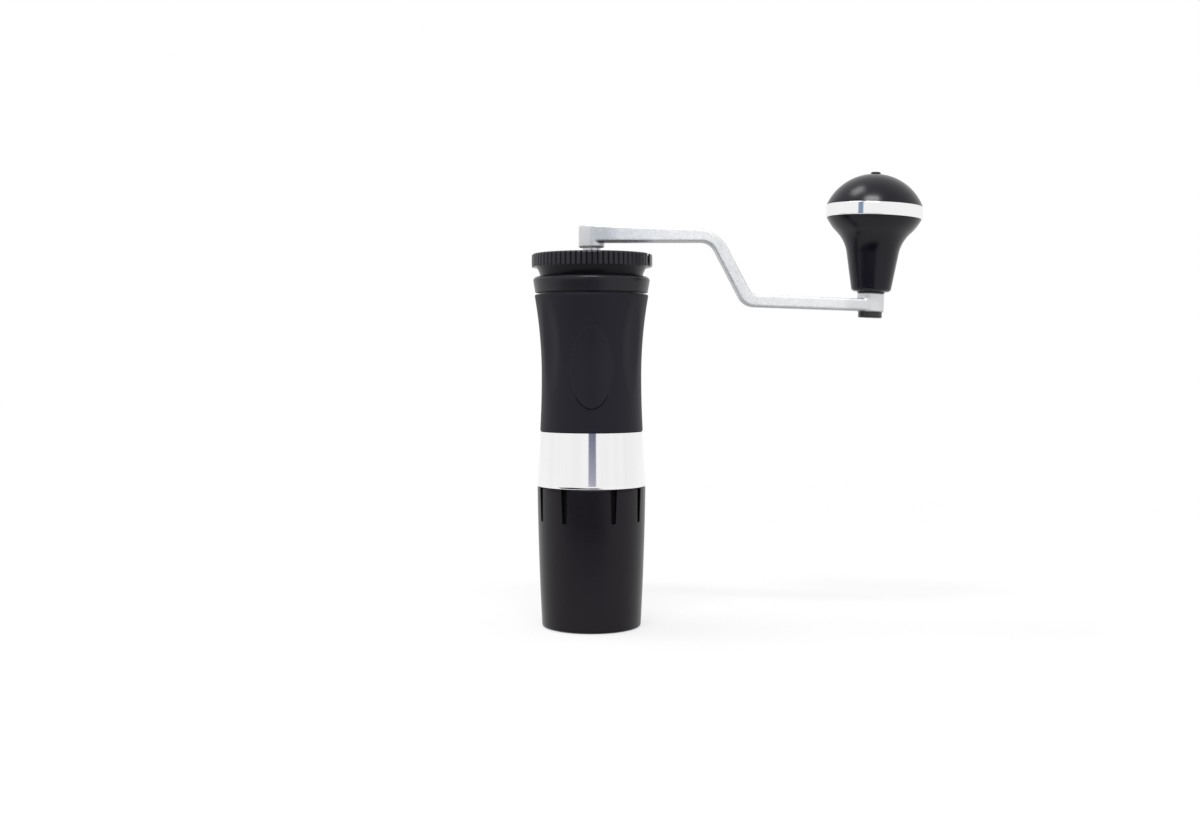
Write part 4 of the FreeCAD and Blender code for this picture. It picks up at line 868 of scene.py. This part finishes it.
# Painted shade: the neck's colours are the cap's black made darker, for the shade under the cap's overhang.
NECK_SHADE_DARK = (0.0054, 0.0049, 0.0080)
NECK_SHADE_LIGHT = (0.0072, 0.0066, 0.0102)


def moulded_black(name, dark, light, specular, rough):
    """Moulded black plastic: faint flow mottle and a fine grain."""
    return grained(
        name, dark, light, specular, rough, grains=2200, patches=110, strength=0.05, depth=0.03 * MM,
    )


LID_BLACK = moulded_black("lid_black", LID_DARK, LID_LIGHT, specular=0.33, rough=(0.22, 0.34))
# The neck also reflects less than the cap: more painted shade under the overhang.
NECK_SHADED_BLACK = moulded_black("neck_painted_shade", NECK_SHADE_DARK, NECK_SHADE_LIGHT, specular=0.13, rough=(0.24, 0.3))
dress(lid_neck_ring(), "lid", "lid_black", NECK_SHADED_BLACK, "lid_neck")
dress(joined("lid_cap_ribbed", ribbed_rim(), rim_tab()), "lid", "lid_black", LID_BLACK, "lid_cap")
keep(STEEL, "lid_bush")

# Crank arm: one casting in a zinc and aluminium alloy, tumbled to a fine satin grain. A bar drops from the
# hub on the shaft to the boss of the knob, and flows into both.
HUB_FOOT = 170.9 * MM
HUB_RADIUS = 5.8 * MM
HUB_HEIGHT = 10.0 * MM
HUB_EDGE = 0.6 * MM
ARM_HALF_WIDTH = 5.7 * MM
ARM_EDGE = 0.8 * MM
ARM_TAIL = 0.5 * MM
ARM_ROOT = 177.1 * MM
ARM_BEND_REACH = 55.3 * MM
ARM_DROP = 29.2 * MM
ARM_SLOPE = math.radians(62.6)
ARM_UPPER_DROOP = math.radians(0.95)
ARM_LOWER_DROOP = math.radians(2.1)
CRANK_REACH = 125.9 * MM
ARM_ROOT_HALF = 3.75 * MM
ARM_HALF = 2.75 * MM
ARM_END_HALF = 2.65 * MM
UPPER_EDGE_BENDS = (16.0 * MM, 4.2 * MM)
LOWER_EDGE_BENDS = (6.7 * MM, 8.5 * MM)
BEND_ROWS = 16
RUN_ROWS = 24
SOCKET_CORNER = 3.524 * MM
SOCKET_DEPTH = 7.0 * MM
SOCKET_SIDES = 6
BOSS_OVERHANG = 0.4 * MM
BOSS_RADIUS = 6.0 * MM
BOSS_HEIGHT = 8.6 * MM
BOSS_EDGE = 0.5 * MM
KNOB_LEAN = math.radians(2.4)
CAST_VOXEL = 0.32 * MM
CAST_SMOOTHING = 8


def arm_line():
    """The bar's middle line in the XZ plane: a drooping run, the slope and a second drooping run."""
    first = np.array([ARM_BEND_REACH, ARM_ROOT - ARM_BEND_REACH * math.tan(ARM_UPPER_DROOP)])
    second = first + np.array([ARM_DROP / math.tan(ARM_SLOPE), -ARM_DROP])
    end = np.array([CRANK_REACH, second[1] - (CRANK_REACH - second[0]) * math.tan(ARM_LOWER_DROOP)])
    return np.array([[0, ARM_ROOT], first, second, end])


def arm_edge(side, bends):
    """The bar's upper (side 1) or lower (side -1) edge, with both its bends rounded.

    A corner lies off the middle line by the vector whose part along each neighbouring run's normal is half
    the bar's height. Its round starts round / tan(half the corner's angle) before it.
    """
    line = arm_line()
    way = np.diff(line, axis=0)
    way /= np.linalg.norm(way, axis=1, keepdims=True)
    normal = np.column_stack([-way[:, 1], way[:, 0]])
    half = np.array([ARM_ROOT_HALF, ARM_HALF, ARM_HALF, ARM_END_HALF])
    before = normal[[0, 0, 1, 2]]
    after = normal[[0, 1, 2, 2]]
    bisector = (before + after) / (1 + (before * after).sum(axis=1, keepdims=True))
    corner = line + side * half[:, None] * bisector
    corner[0] -= way[0] * ARM_TAIL
    corner[3] += way[2] * ARM_TAIL
    rows = []
    start = corner[0]
    for index, radius in enumerate(bends, start=1):
        back = corner[index - 1] - corner[index]
        on = corner[index + 1] - corner[index]
        back /= np.linalg.norm(back)
        on /= np.linalg.norm(on)
        half_angle = math.acos(back @ on) / 2
        reach = radius / math.tan(half_angle)
        centre = corner[index] + (back + on) / np.linalg.norm(back + on) * radius / math.sin(half_angle)
        touch = corner[index] + back * reach
        leave = corner[index] + on * reach
        share = np.arange(RUN_ROWS)[:, None] / RUN_ROWS
        rows.append(start + (touch - start) * share)
        sweep = math.pi - 2 * half_angle
        share = np.arange(BEND_ROWS)[:, None] / BEND_ROWS
        arc = np.sin((1 - share) * sweep) * (touch - centre) + np.sin(share * sweep) * (leave - centre)
        rows.append(centre + arc / math.sin(sweep))
        start = leave
    share = np.linspace(0, 1, RUN_ROWS)[:, None]
    rows.append(start + (corner[3] - start) * share)
    return np.vstack(rows)


def arm_bar():
    """A rounded rectangle carried along the bar: its height spans the two edges, its width is the arm's."""
    upper = arm_edge(1, UPPER_EDGE_BENDS)
    lower = arm_edge(-1, LOWER_EDGE_BENDS)
    middle = (upper + lower) / 2
    half = np.linalg.norm(upper - lower, axis=1, keepdims=True) / 2
    up = (upper - lower) / (2 * half)
    across, rise = rounded_frame(ARM_HALF_WIDTH, half, ARM_EDGE)
    across = np.broadcast_to(across, rise.shape)
    return capped("arm_bar", np.stack([
        middle[:, :1] + up[:, :1] * rise, across, middle[:, 1:] + up[:, 1:] * rise,
    ], axis=-1))


def stud(radius, low, high, edge, bore=0):
    """Half section of a round stud or ring with rounded outer edges."""
    return [(bore, low), *foot_round(radius, low, edge), *top_round(radius, high, edge), (bore, high)]


arm_end = arm_line()[3]
boss_foot = arm_end[1] - ARM_END_HALF - BOSS_OVERHANG


def on_spindle(grid):
    """Points about Z turned by the knob's lean, towards +X, and stood on the foot of the boss."""
    across = grid[..., 0] * math.cos(KNOB_LEAN) + grid[..., 2] * math.sin(KNOB_LEAN)
    height = grid[..., 2] * math.cos(KNOB_LEAN) - grid[..., 0] * math.sin(KNOB_LEAN)
    return np.stack([across + CRANK_REACH, grid[..., 1], height + boss_foot], axis=-1)


def hub_socket():
    """The six-sided socket for the shaft, as a prism that starts below the hub's foot."""
    angle = 2 * math.pi * (np.arange(SOCKET_SIDES) + 0.5) / SOCKET_SIDES
    level = np.array([HUB_FOOT - SOCKET_DEPTH, HUB_FOOT + SOCKET_DEPTH])
    return capped("hub_socket", swept(SOCKET_CORNER, angle[None, :], level[:, None]))


def mark_upward(mesh):
    """Keep on every point how far the skin looks up there: the height of its unit normal."""
    normal = np.empty((len(mesh.vertices), 3), np.float32)
    mesh.vertex_normals.foreach_get("vector", normal.ravel())
    upward = mesh.attributes.new("upward", "FLOAT", "POINT")
    upward.data.foreach_set("value", normal[:, 2].copy())


def cast_together(name, socket, *pieces):
    """The union of closed shells as one casting: they share one skin of small voxels, whose creases are
    then smoothed into the soft fillets of a tumbled casting. The socket is broached out of it."""
    casting = joined(name, *pieces)
    remesh = casting.modifiers.new("one_skin", "REMESH")
    remesh.mode = "VOXEL"
    remesh.voxel_size = CAST_VOXEL
    ease = casting.modifiers.new("tumbled", "SMOOTH")
    ease.iterations = CAST_SMOOTHING
    broach = casting.modifiers.new("broached", "BOOLEAN")
    broach.operation = "DIFFERENCE"
    broach.object = socket
    shaped = casting.evaluated_get(bpy.context.evaluated_depsgraph_get())
    smooth = bpy.data.meshes.new_from_object(shaped)
    mark_upward(smooth)
    bpy.data.objects.remove(casting)
    bpy.data.objects.remove(socket)
    return finished(name, smooth)


def cast_crank():
    """Bar, hub and boss in one casting."""
    hub = turned("arm_hub", stud(HUB_RADIUS, HUB_FOOT, HUB_FOOT + HUB_HEIGHT, HUB_EDGE))
    boss = turned("arm_boss", stud(BOSS_RADIUS, 0, BOSS_HEIGHT, BOSS_EDGE), on_spindle)
    return cast_together("crank_casting", hub_socket(), arm_bar(), hub, boss)


CAST_DARK = (0.69, 0.70, 0.715)
CAST_LIGHT = (0.95, 0.955, 0.965)
# Painted shade: colours for faces that look down and for faces that look up, by how light falls on them.
CAST_PAINTED_SHADE_UNDER = (0.32, 0.325, 0.34)
CAST_PAINTED_SHADE_ABOVE = (0.70, 0.71, 0.725)
CAST_LEVEL, CAST_TURNED = 0.1, 0.7
CAST_REACH = 130 * MM
CAST_SHARES = [
    (0.05, 0), (0.1, 0.85), (0.37, 0.85), (0.45, 0.4), (0.54, 0.4), (0.62, 0.6), (0.85, 0.6), (0.91, 0),
]
CAST_MOTTLE = 0.3
CAST_GRAIN = 0.5
CAST_ROUGH = (0.32, 0.44)
CAST_RELIEF = 0.5
CAST_GRAIN_DEPTH = 0.16 * MM


def along_arm(tree):
    """Share of the lighter tone by the distance along the arm, in straight lines from stop to stop."""
    along = add(tree, "ShaderNodeSeparateXYZ", {0: object_place(tree)}).outputs["X"]
    ramp = add(tree, "ShaderNodeValToRGB", {0: spread(tree, along, 0, 1, end=CAST_REACH)})
    stops = ramp.color_ramp.elements
    stops[1].color = stops[0].color
    for stop, share in CAST_SHARES:
        stops.new(stop).color = (share, share, share, 1)
    return ramp.outputs[0]


def tumbled_casting():
    """Tumbled casting: a satin grain over a slow mottle, lighter on the bar's sides than on hub and boss.
    Painted shade darkens the faces that look down, and less so the faces that look up, against the lamps'
    highlight."""
    material, tree, shader = surface("tumbled_casting", Metallic=0.62)
    grain = group_of(tree, GRAIN, Grains=950, Patches=160)
    share = along_arm(tree)
    for pattern, change in (("Mottle", CAST_MOTTLE), ("Height", CAST_GRAIN)):
        share = worked(tree, "ADD", share, spread(tree, grain[pattern], -change, change))
    upward = add(tree, "ShaderNodeAttribute", attribute_name="upward").outputs["Fac"]
    colour = tint(tree, share, CAST_DARK, CAST_LIGHT)
    # Painted shade by the way a face looks: down darkens most, up a little.
    for side, shade in ((-1, CAST_PAINTED_SHADE_UNDER), (1, CAST_PAINTED_SHADE_ABOVE)):
        painted_shade_share = spread(tree, upward, 0, 1, side * CAST_LEVEL, side * CAST_TURNED)
        colour = blend(tree, painted_shade_share, colour, (*shade, 1))
    feed(tree, shader, Base_Color=colour, Roughness=spread(tree, grain["Height"], *CAST_ROUGH))
    relief(tree, shader, grain["Height"], CAST_RELIEF, CAST_GRAIN_DEPTH)
    return material


dress(cast_crank(), "crank", "cast_metal", tumbled_casting(), "crank_arm")

# Knob: a mushroom of black plastic on a steel spindle. Its stem flares out to a polished ring, under a
# domed crown. A black washer carries it, a black cap closes the boss below, and a screw on top holds it.
KNOB_FOOT = 9.2 * MM
KNOB_FOOT_RADIUS = 9.0 * MM
KNOB_FOOT_ROUND = 1.8 * MM
KNOB_STEM_TOP = 26.5 * MM
KNOB_STEM_RADIUS = 11.6 * MM
KNOB_FLARE_TOP = 35.8 * MM
KNOB_FLARE_RADIUS = 16.4 * MM
KNOB_FLARE_BOW = 16.85 * MM
KNOB_SHOULDER_RADIUS = 21.1 * MM
KNOB_SHOULDER_BOW = 22.7 * MM
KNOB_BAND_FOOT = 42.2 * MM
KNOB_BAND_TOP = 47.9 * MM
KNOB_BAND_RADIUS = 21.7 * MM
KNOB_BAND_EDGE = 0.4 * MM
KNOB_BORE = 18.0 * MM
KNOB_BUSH_SEAT = 3.61 * MM
KNOB_HOLLOW = 13.8 * MM
KNOB_SPIGOT_FOOT = 39.7 * MM
KNOB_SPIGOT_INSIDE = 15.35 * MM
KNOB_CAP_RADIUS = 21.5 * MM
KNOB_CAP_HEIGHT = 14.5 * MM
KNOB_CAP_CEILING = 53.8 * MM
KNOB_CAP_RISE = 4.6 * MM
KNOB_CAP_BOSS = 5.8 * MM
KNOB_SCREW_HOLE = 1.8 * MM
LOWER_BUSH_TOP = 19.2 * MM
UPPER_BUSH_FOOT = 48.0 * MM
UPPER_BUSH_TOP = 56.0 * MM
SPINDLE_CAP_RADIUS = 5.3 * MM
SPINDLE_CAP_HEIGHT = 2.6 * MM
SPINDLE_CAP_ROUND = 0.5 * MM
WASHER_RADIUS = 6.2 * MM
WASHER_TOP = 9.0 * MM
WASHER_BORE = 2.55 * MM
WASHER_EDGE = 0.1 * MM
SCREW_HEAD_RADIUS = 2.2 * MM
SCREW_HEAD_HEIGHT = 0.75 * MM
SCREW_HEAD_ROUND = 0.4 * MM
SCREW_SHANK = 1.5 * MM
SCREW_PLAY = 0.1 * MM
SCREW_LENGTH = 14.0 * MM
knob_apex = KNOB_BAND_TOP + KNOB_CAP_HEIGHT


def flared_stem():
    """Half section of the stem: a slow cone, a hollow flare and a full shoulder under the band."""
    return turned("knob_stem", [
        (KNOB_BUSH_SEAT, KNOB_FOOT),
        *foot_round(KNOB_FOOT_RADIUS, KNOB_FOOT, KNOB_FOOT_ROUND),
        (KNOB_STEM_RADIUS, KNOB_STEM_TOP, KNOB_FLARE_BOW, RIGHT),
        (KNOB_FLARE_RADIUS, KNOB_FLARE_TOP, KNOB_SHOULDER_BOW, LEFT),
        (KNOB_SHOULDER_RADIUS, KNOB_BAND_FOOT),
        (KNOB_BORE, KNOB_BAND_FOOT),
        (KNOB_BORE, KNOB_SPIGOT_FOOT),
        (KNOB_HOLLOW, KNOB_SPIGOT_FOOT),
        (KNOB_HOLLOW, KNOB_FLARE_TOP),
        (KNOB_BUSH_SEAT, LOWER_BUSH_TOP),
    ], on_spindle)


def knob_ring():
    """Half section of the polished ring between stem and crown."""
    section = stud(KNOB_BAND_RADIUS, KNOB_BAND_FOOT, KNOB_BAND_TOP, KNOB_BAND_EDGE, KNOB_BORE)
    return turned("knob_ring", section, on_spindle)


def domed_crown():
    """Half section of the crown: one arc from rim to apex over the spigot and the bush's boss."""
    dome = arc_radius(KNOB_CAP_HEIGHT, KNOB_CAP_RADIUS)
    hole_top = knob_apex - dome + math.sqrt(dome ** 2 - KNOB_SCREW_HOLE ** 2)
    return turned("knob_crown", [
        (KNOB_SPIGOT_INSIDE, KNOB_SPIGOT_FOOT),
        (KNOB_BORE, KNOB_SPIGOT_FOOT),
        (KNOB_BORE, KNOB_BAND_TOP),
        (KNOB_CAP_RADIUS, KNOB_BAND_TOP, dome, LEFT),
        (KNOB_SCREW_HOLE, hole_top),
        (KNOB_SCREW_HOLE, UPPER_BUSH_TOP),
        (KNOB_BUSH_SEAT, UPPER_BUSH_TOP),
        (KNOB_BUSH_SEAT, UPPER_BUSH_FOOT),
        (KNOB_CAP_BOSS, UPPER_BUSH_FOOT),
        (KNOB_CAP_BOSS, KNOB_CAP_CEILING + KNOB_CAP_RISE),
        (KNOB_SPIGOT_INSIDE, KNOB_CAP_CEILING),
    ], on_spindle)


def closing_cap():
    """Half section of the cap under the boss, rounded at its lower rim."""
    foot = -SPINDLE_CAP_HEIGHT
    return turned("spindle_cap_turned", [
        (0, foot),
        *foot_round(SPINDLE_CAP_RADIUS, foot, SPINDLE_CAP_ROUND),
        (SPINDLE_CAP_RADIUS, 0),
        (0, 0),
    ], on_spindle)


def thrust_washer():
    """Half section of the washer, with its outer edges broken."""
    section = stud(WASHER_RADIUS, BOSS_HEIGHT, WASHER_TOP, WASHER_EDGE, WASHER_BORE)
    return turned("knob_washer_ring", section, on_spindle)


def crown_screw():
    """Half section of the screw: a shank and a low rounded head that stands on the crown."""
    seat = knob_apex + SCREW_PLAY
    top = seat + SCREW_HEAD_HEIGHT
    return turned("knob_screw_turned", [
        (0, knob_apex - SCREW_LENGTH),
        (SCREW_SHANK, knob_apex - SCREW_LENGTH),
        (SCREW_SHANK, seat),
        (SCREW_HEAD_RADIUS, seat),
        *top_round(SCREW_HEAD_RADIUS, top, SCREW_HEAD_ROUND),
        (0, top),
    ], on_spindle)


# Blackened steel: a thin dark coat that is rubbed bright at the edges.
OXIDE_DARK = (0.010, 0.010, 0.010)
OXIDE_LIGHT = (0.020, 0.020, 0.020)
BLACK_OXIDE = grained(
    "black_oxide", OXIDE_DARK, OXIDE_LIGHT, specular=0.5, rough=(0.25, 0.42), rough_by="Height",
    grains=2000, patches=300, strength=0.1, depth=0.04 * MM, rubbed=0.8,
)
KNOB_DARK = (0.0026, 0.0018, 0.0058)
KNOB_LIGHT = (0.0038, 0.0028, 0.0076)
KNOB_BLACK = moulded_black("knob_black", KNOB_DARK, KNOB_LIGHT, specular=0.27, rough=(0.22, 0.27))
BRONZE_DARK = (0.36, 0.24, 0.12)
BRONZE_LIGHT = (0.52, 0.37, 0.20)
BRONZE = lathe_turned("sintered_bronze", BRONZE_DARK, BRONZE_LIGHT, rings=2400, rough=(0.3, 0.5))
keep(BRONZE, "knob_lower_bush", "knob_upper_bush")
keep(STEEL, "knob_spindle")
dress(flared_stem(), "knob", "knob_black", KNOB_BLACK, "knob_grip")
dress(knob_ring(), "knob", "polished_metal", POLISHED, "knob_band")
dress(domed_crown(), "knob", "knob_black", KNOB_BLACK, "knob_cap")
dress(closing_cap(), "crank", "black_metal", BLACK_OXIDE, "spindle_cap")
dress(thrust_washer(), "crank", "black_metal", BLACK_OXIDE, "knob_washer")
dress(crown_screw(), "crank", "black_metal", BLACK_OXIDE, "knob_screw")

# Stage: a plain pale floor in an even white studio, with a soft lamp and a strip overhead. Only mirrors
# see a dark post before the grinder and a dark cloth on the floor further out, which shape its reflections.
FLOOR_SIZE = 6.0
FLOOR_WHITE = (0.92, 0.92, 0.92)
FLOOR_ROUGH = 0.9
FLOOR_SHADED = (0.30, 0.30, 0.30)
FLOOR_NEAR, FLOOR_FAR = 0.1, 1.4
FLOOR_NEAR_GLOW, FLOOR_FAR_GLOW = 0.69, 0.83
WORLD_LEVEL = 0.58
WHITE = (1, 1, 1, 1)


def seen_directly(tree):
    """1 where the camera, a mirror or glass looks at a surface, and 0 for the light it gives."""
    path = add(tree, "ShaderNodeLightPath").outputs
    seen = path["Is Camera Ray"]
    for ray in ("Is Glossy Ray", "Is Transmission Ray"):
        seen = worked(tree, "MAXIMUM", seen, path[ray])
    return seen


def studio_world():
    """White where it is seen directly, and a lower even light on everything else."""
    world = bpy.data.worlds.new("studio")
    world.use_nodes = True
    tree = world.node_tree
    strength = spread(tree, seen_directly(tree), WORLD_LEVEL, 1)
    light = add(tree, "ShaderNodeBackground", {"Strength": strength, "Color": WHITE}).outputs[0]
    tree.links.new(light, tree.nodes["World Output"].inputs[0])
    bpy.context.scene.world = world


def flat_panel(name, corners):
    """A flat panel through its corners, as part of the stage."""
    mesh = bpy.data.meshes.new(name)
    mesh.from_pydata(corners, [], [list(range(len(corners)))])
    panel = bpy.data.objects.new(name, mesh)
    bpy.context.scene.collection.objects.link(panel)
    return panel


def pale_floor():
    """A pale sheet. Where it is seen directly it is white, less the soft shadow of the grinder: its glow
    grows with the distance from the grinder as the lamps' light on it fades."""
    half = FLOOR_SIZE / 2
    panel = flat_panel("floor", [(-half, -half, 0), (half, -half, 0), (half, half, 0), (-half, half, 0)])
    material, tree, shader = surface("floor_sheet", Roughness=FLOOR_ROUGH, Base_Color=(*FLOOR_WHITE, 1))
    shaded = add(tree, "ShaderNodeBsdfDiffuse", {"Color": (*FLOOR_SHADED, 1)}).outputs[0]
    away = add(tree, "ShaderNodeVectorMath", {0: object_place(tree)}, operation="LENGTH").outputs["Value"]
    strength = spread(tree, away, FLOOR_NEAR_GLOW, FLOOR_FAR_GLOW, FLOOR_NEAR, FLOOR_FAR)
    glow = add(tree, "ShaderNodeEmission", {"Color": WHITE, "Strength": strength}).outputs[0]
    white = add(tree, "ShaderNodeAddShader", {0: shaded, 1: glow}).outputs[0]
    mixed = add(tree, "ShaderNodeMixShader", {0: seen_directly(tree), 1: shader.outputs[0], 2: white})
    tree.links.new(mixed.outputs[0], tree.nodes["Material Output"].inputs[0])
    panel.data.materials.append(material)


POST_PLACE = (4.7 * MM, -147 * MM)
POST_RADIUS = 19 * MM
POST_SIDES = 32
POST_LEVELS = np.array([65, 93, 203, 300]) * MM
POST_COLOURS = [(0.43, 0.42, 0.53), (0.18, 0.198, 0.27), (0.235, 0.32, 0.45), (0.235, 0.32, 0.45)]
CLOTH_LEVEL = 0.5 * MM
CLOTH_LEFT, CLOTH_RIGHT = -0.7, 0.18
CLOTH_NEAR, CLOTH_FAR = -0.2, -0.75
CLOTH_BLACK = (0.01, 0.01, 0.012)


def mirrors_only(piece, tree, colour):
    """Hide a thing from all but mirrors, and let it glow in its own colour."""
    for ray in ("camera", "diffuse", "shadow", "transmission"):
        setattr(piece, f"visible_{ray}", False)
    glow = add(tree, "ShaderNodeEmission", {"Color": colour}).outputs[0]
    tree.links.new(glow, tree.nodes["Material Output"].inputs[0])


def dark_post():
    """An upright round post: a circle at every level, whose colour runs from level to level."""
    grid = swept(POST_RADIUS, round_angles(POST_SIDES)[None, :], POST_LEVELS[:, None])
    post = capped("dark_post", grid + np.array([*POST_PLACE, 0]))
    material, tree = surface("dark_post")[:2]
    post.data.materials.append(material)
    level = add(tree, "ShaderNodeSeparateXYZ", {0: object_place(tree)}).outputs["Z"]
    colour = (*POST_COLOURS[0], 1)
    for low, high, next_colour in zip(POST_LEVELS, POST_LEVELS[1:], POST_COLOURS[1:]):
        colour = blend(tree, spread(tree, level, 0, 1, low, high), colour, (*next_colour, 1))
    mirrors_only(post, tree, colour)


def dark_cloth():
    """A flat dark cloth on the floor, out in front."""
    cloth = flat_panel("dark_cloth", [
        (CLOTH_LEFT, CLOTH_FAR, CLOTH_LEVEL), (CLOTH_RIGHT, CLOTH_FAR, CLOTH_LEVEL),
        (CLOTH_RIGHT, CLOTH_NEAR, CLOTH_LEVEL), (CLOTH_LEFT, CLOTH_NEAR, CLOTH_LEVEL),
    ])
    material, tree = surface("dark_cloth")[:2]
    cloth.data.materials.append(material)
    mirrors_only(cloth, tree, (*CLOTH_BLACK, 1))


def soft_lamp(name, place, aim, width, depth, power):
    """A rectangular area lamp at a place, turned to look at a point, that the camera doesn't see."""
    lamp = bpy.data.lights.new(name, "AREA")
    lamp.shape = "RECTANGLE"
    lamp.size = width
    lamp.size_y = depth
    lamp.energy = power
    holder = bpy.data.objects.new(name, lamp)
    holder.location = place
    way = mathutils.Vector(aim) - mathutils.Vector(place)
    holder.rotation_euler = way.to_track_quat("-Z", "Y").to_euler()
    holder.visible_camera = False
    bpy.context.scene.collection.objects.link(holder)


KNOB_MIDDLE = (0.128, 0, 0.19)
studio_world()
pale_floor()
dark_post()
dark_cloth()
soft_lamp("strip", place=(-0.03, -0.58, 1.12), aim=KNOB_MIDDLE, width=0.50, depth=0.14, power=6.0)
soft_lamp("overhead", place=(-0.29, 0.055, 1.12), aim=KNOB_MIDDLE, width=0.33, depth=0.33, power=2.6)

# Camera: level, straight in front, a little above the middle of the grinder. The photograph is 1200 by 836
# pixels, and one pixel is 0.452 mm at the body's axis.
IMAGE_WIDTH = 1200
IMAGE_HEIGHT = 836
PIXEL = 0.452 * MM
AXIS_PIXEL = 591.5
FLOOR_PIXEL = 626
HORIZON_PIXEL = 358
CAMERA_AWAY = 0.68
SENSOR = 36.0

camera = bpy.data.cameras.new("photo_camera")
camera.sensor_width = SENSOR
camera.lens = SENSOR * CAMERA_AWAY / PIXEL / IMAGE_WIDTH
camera.shift_y = (HORIZON_PIXEL - IMAGE_HEIGHT / 2) / IMAGE_WIDTH
viewer = bpy.data.objects.new("photo_camera", camera)
viewer.location = (
    (IMAGE_WIDTH / 2 - AXIS_PIXEL) * PIXEL,
    -CAMERA_AWAY,
    (FLOOR_PIXEL - HORIZON_PIXEL) * PIXEL,
)
viewer.rotation_euler = (math.pi / 2, 0, 0)
bpy.context.scene.collection.objects.link(viewer)
bpy.context.scene.camera = viewer
bpy.context.scene.view_settings.view_transform = "Standard"
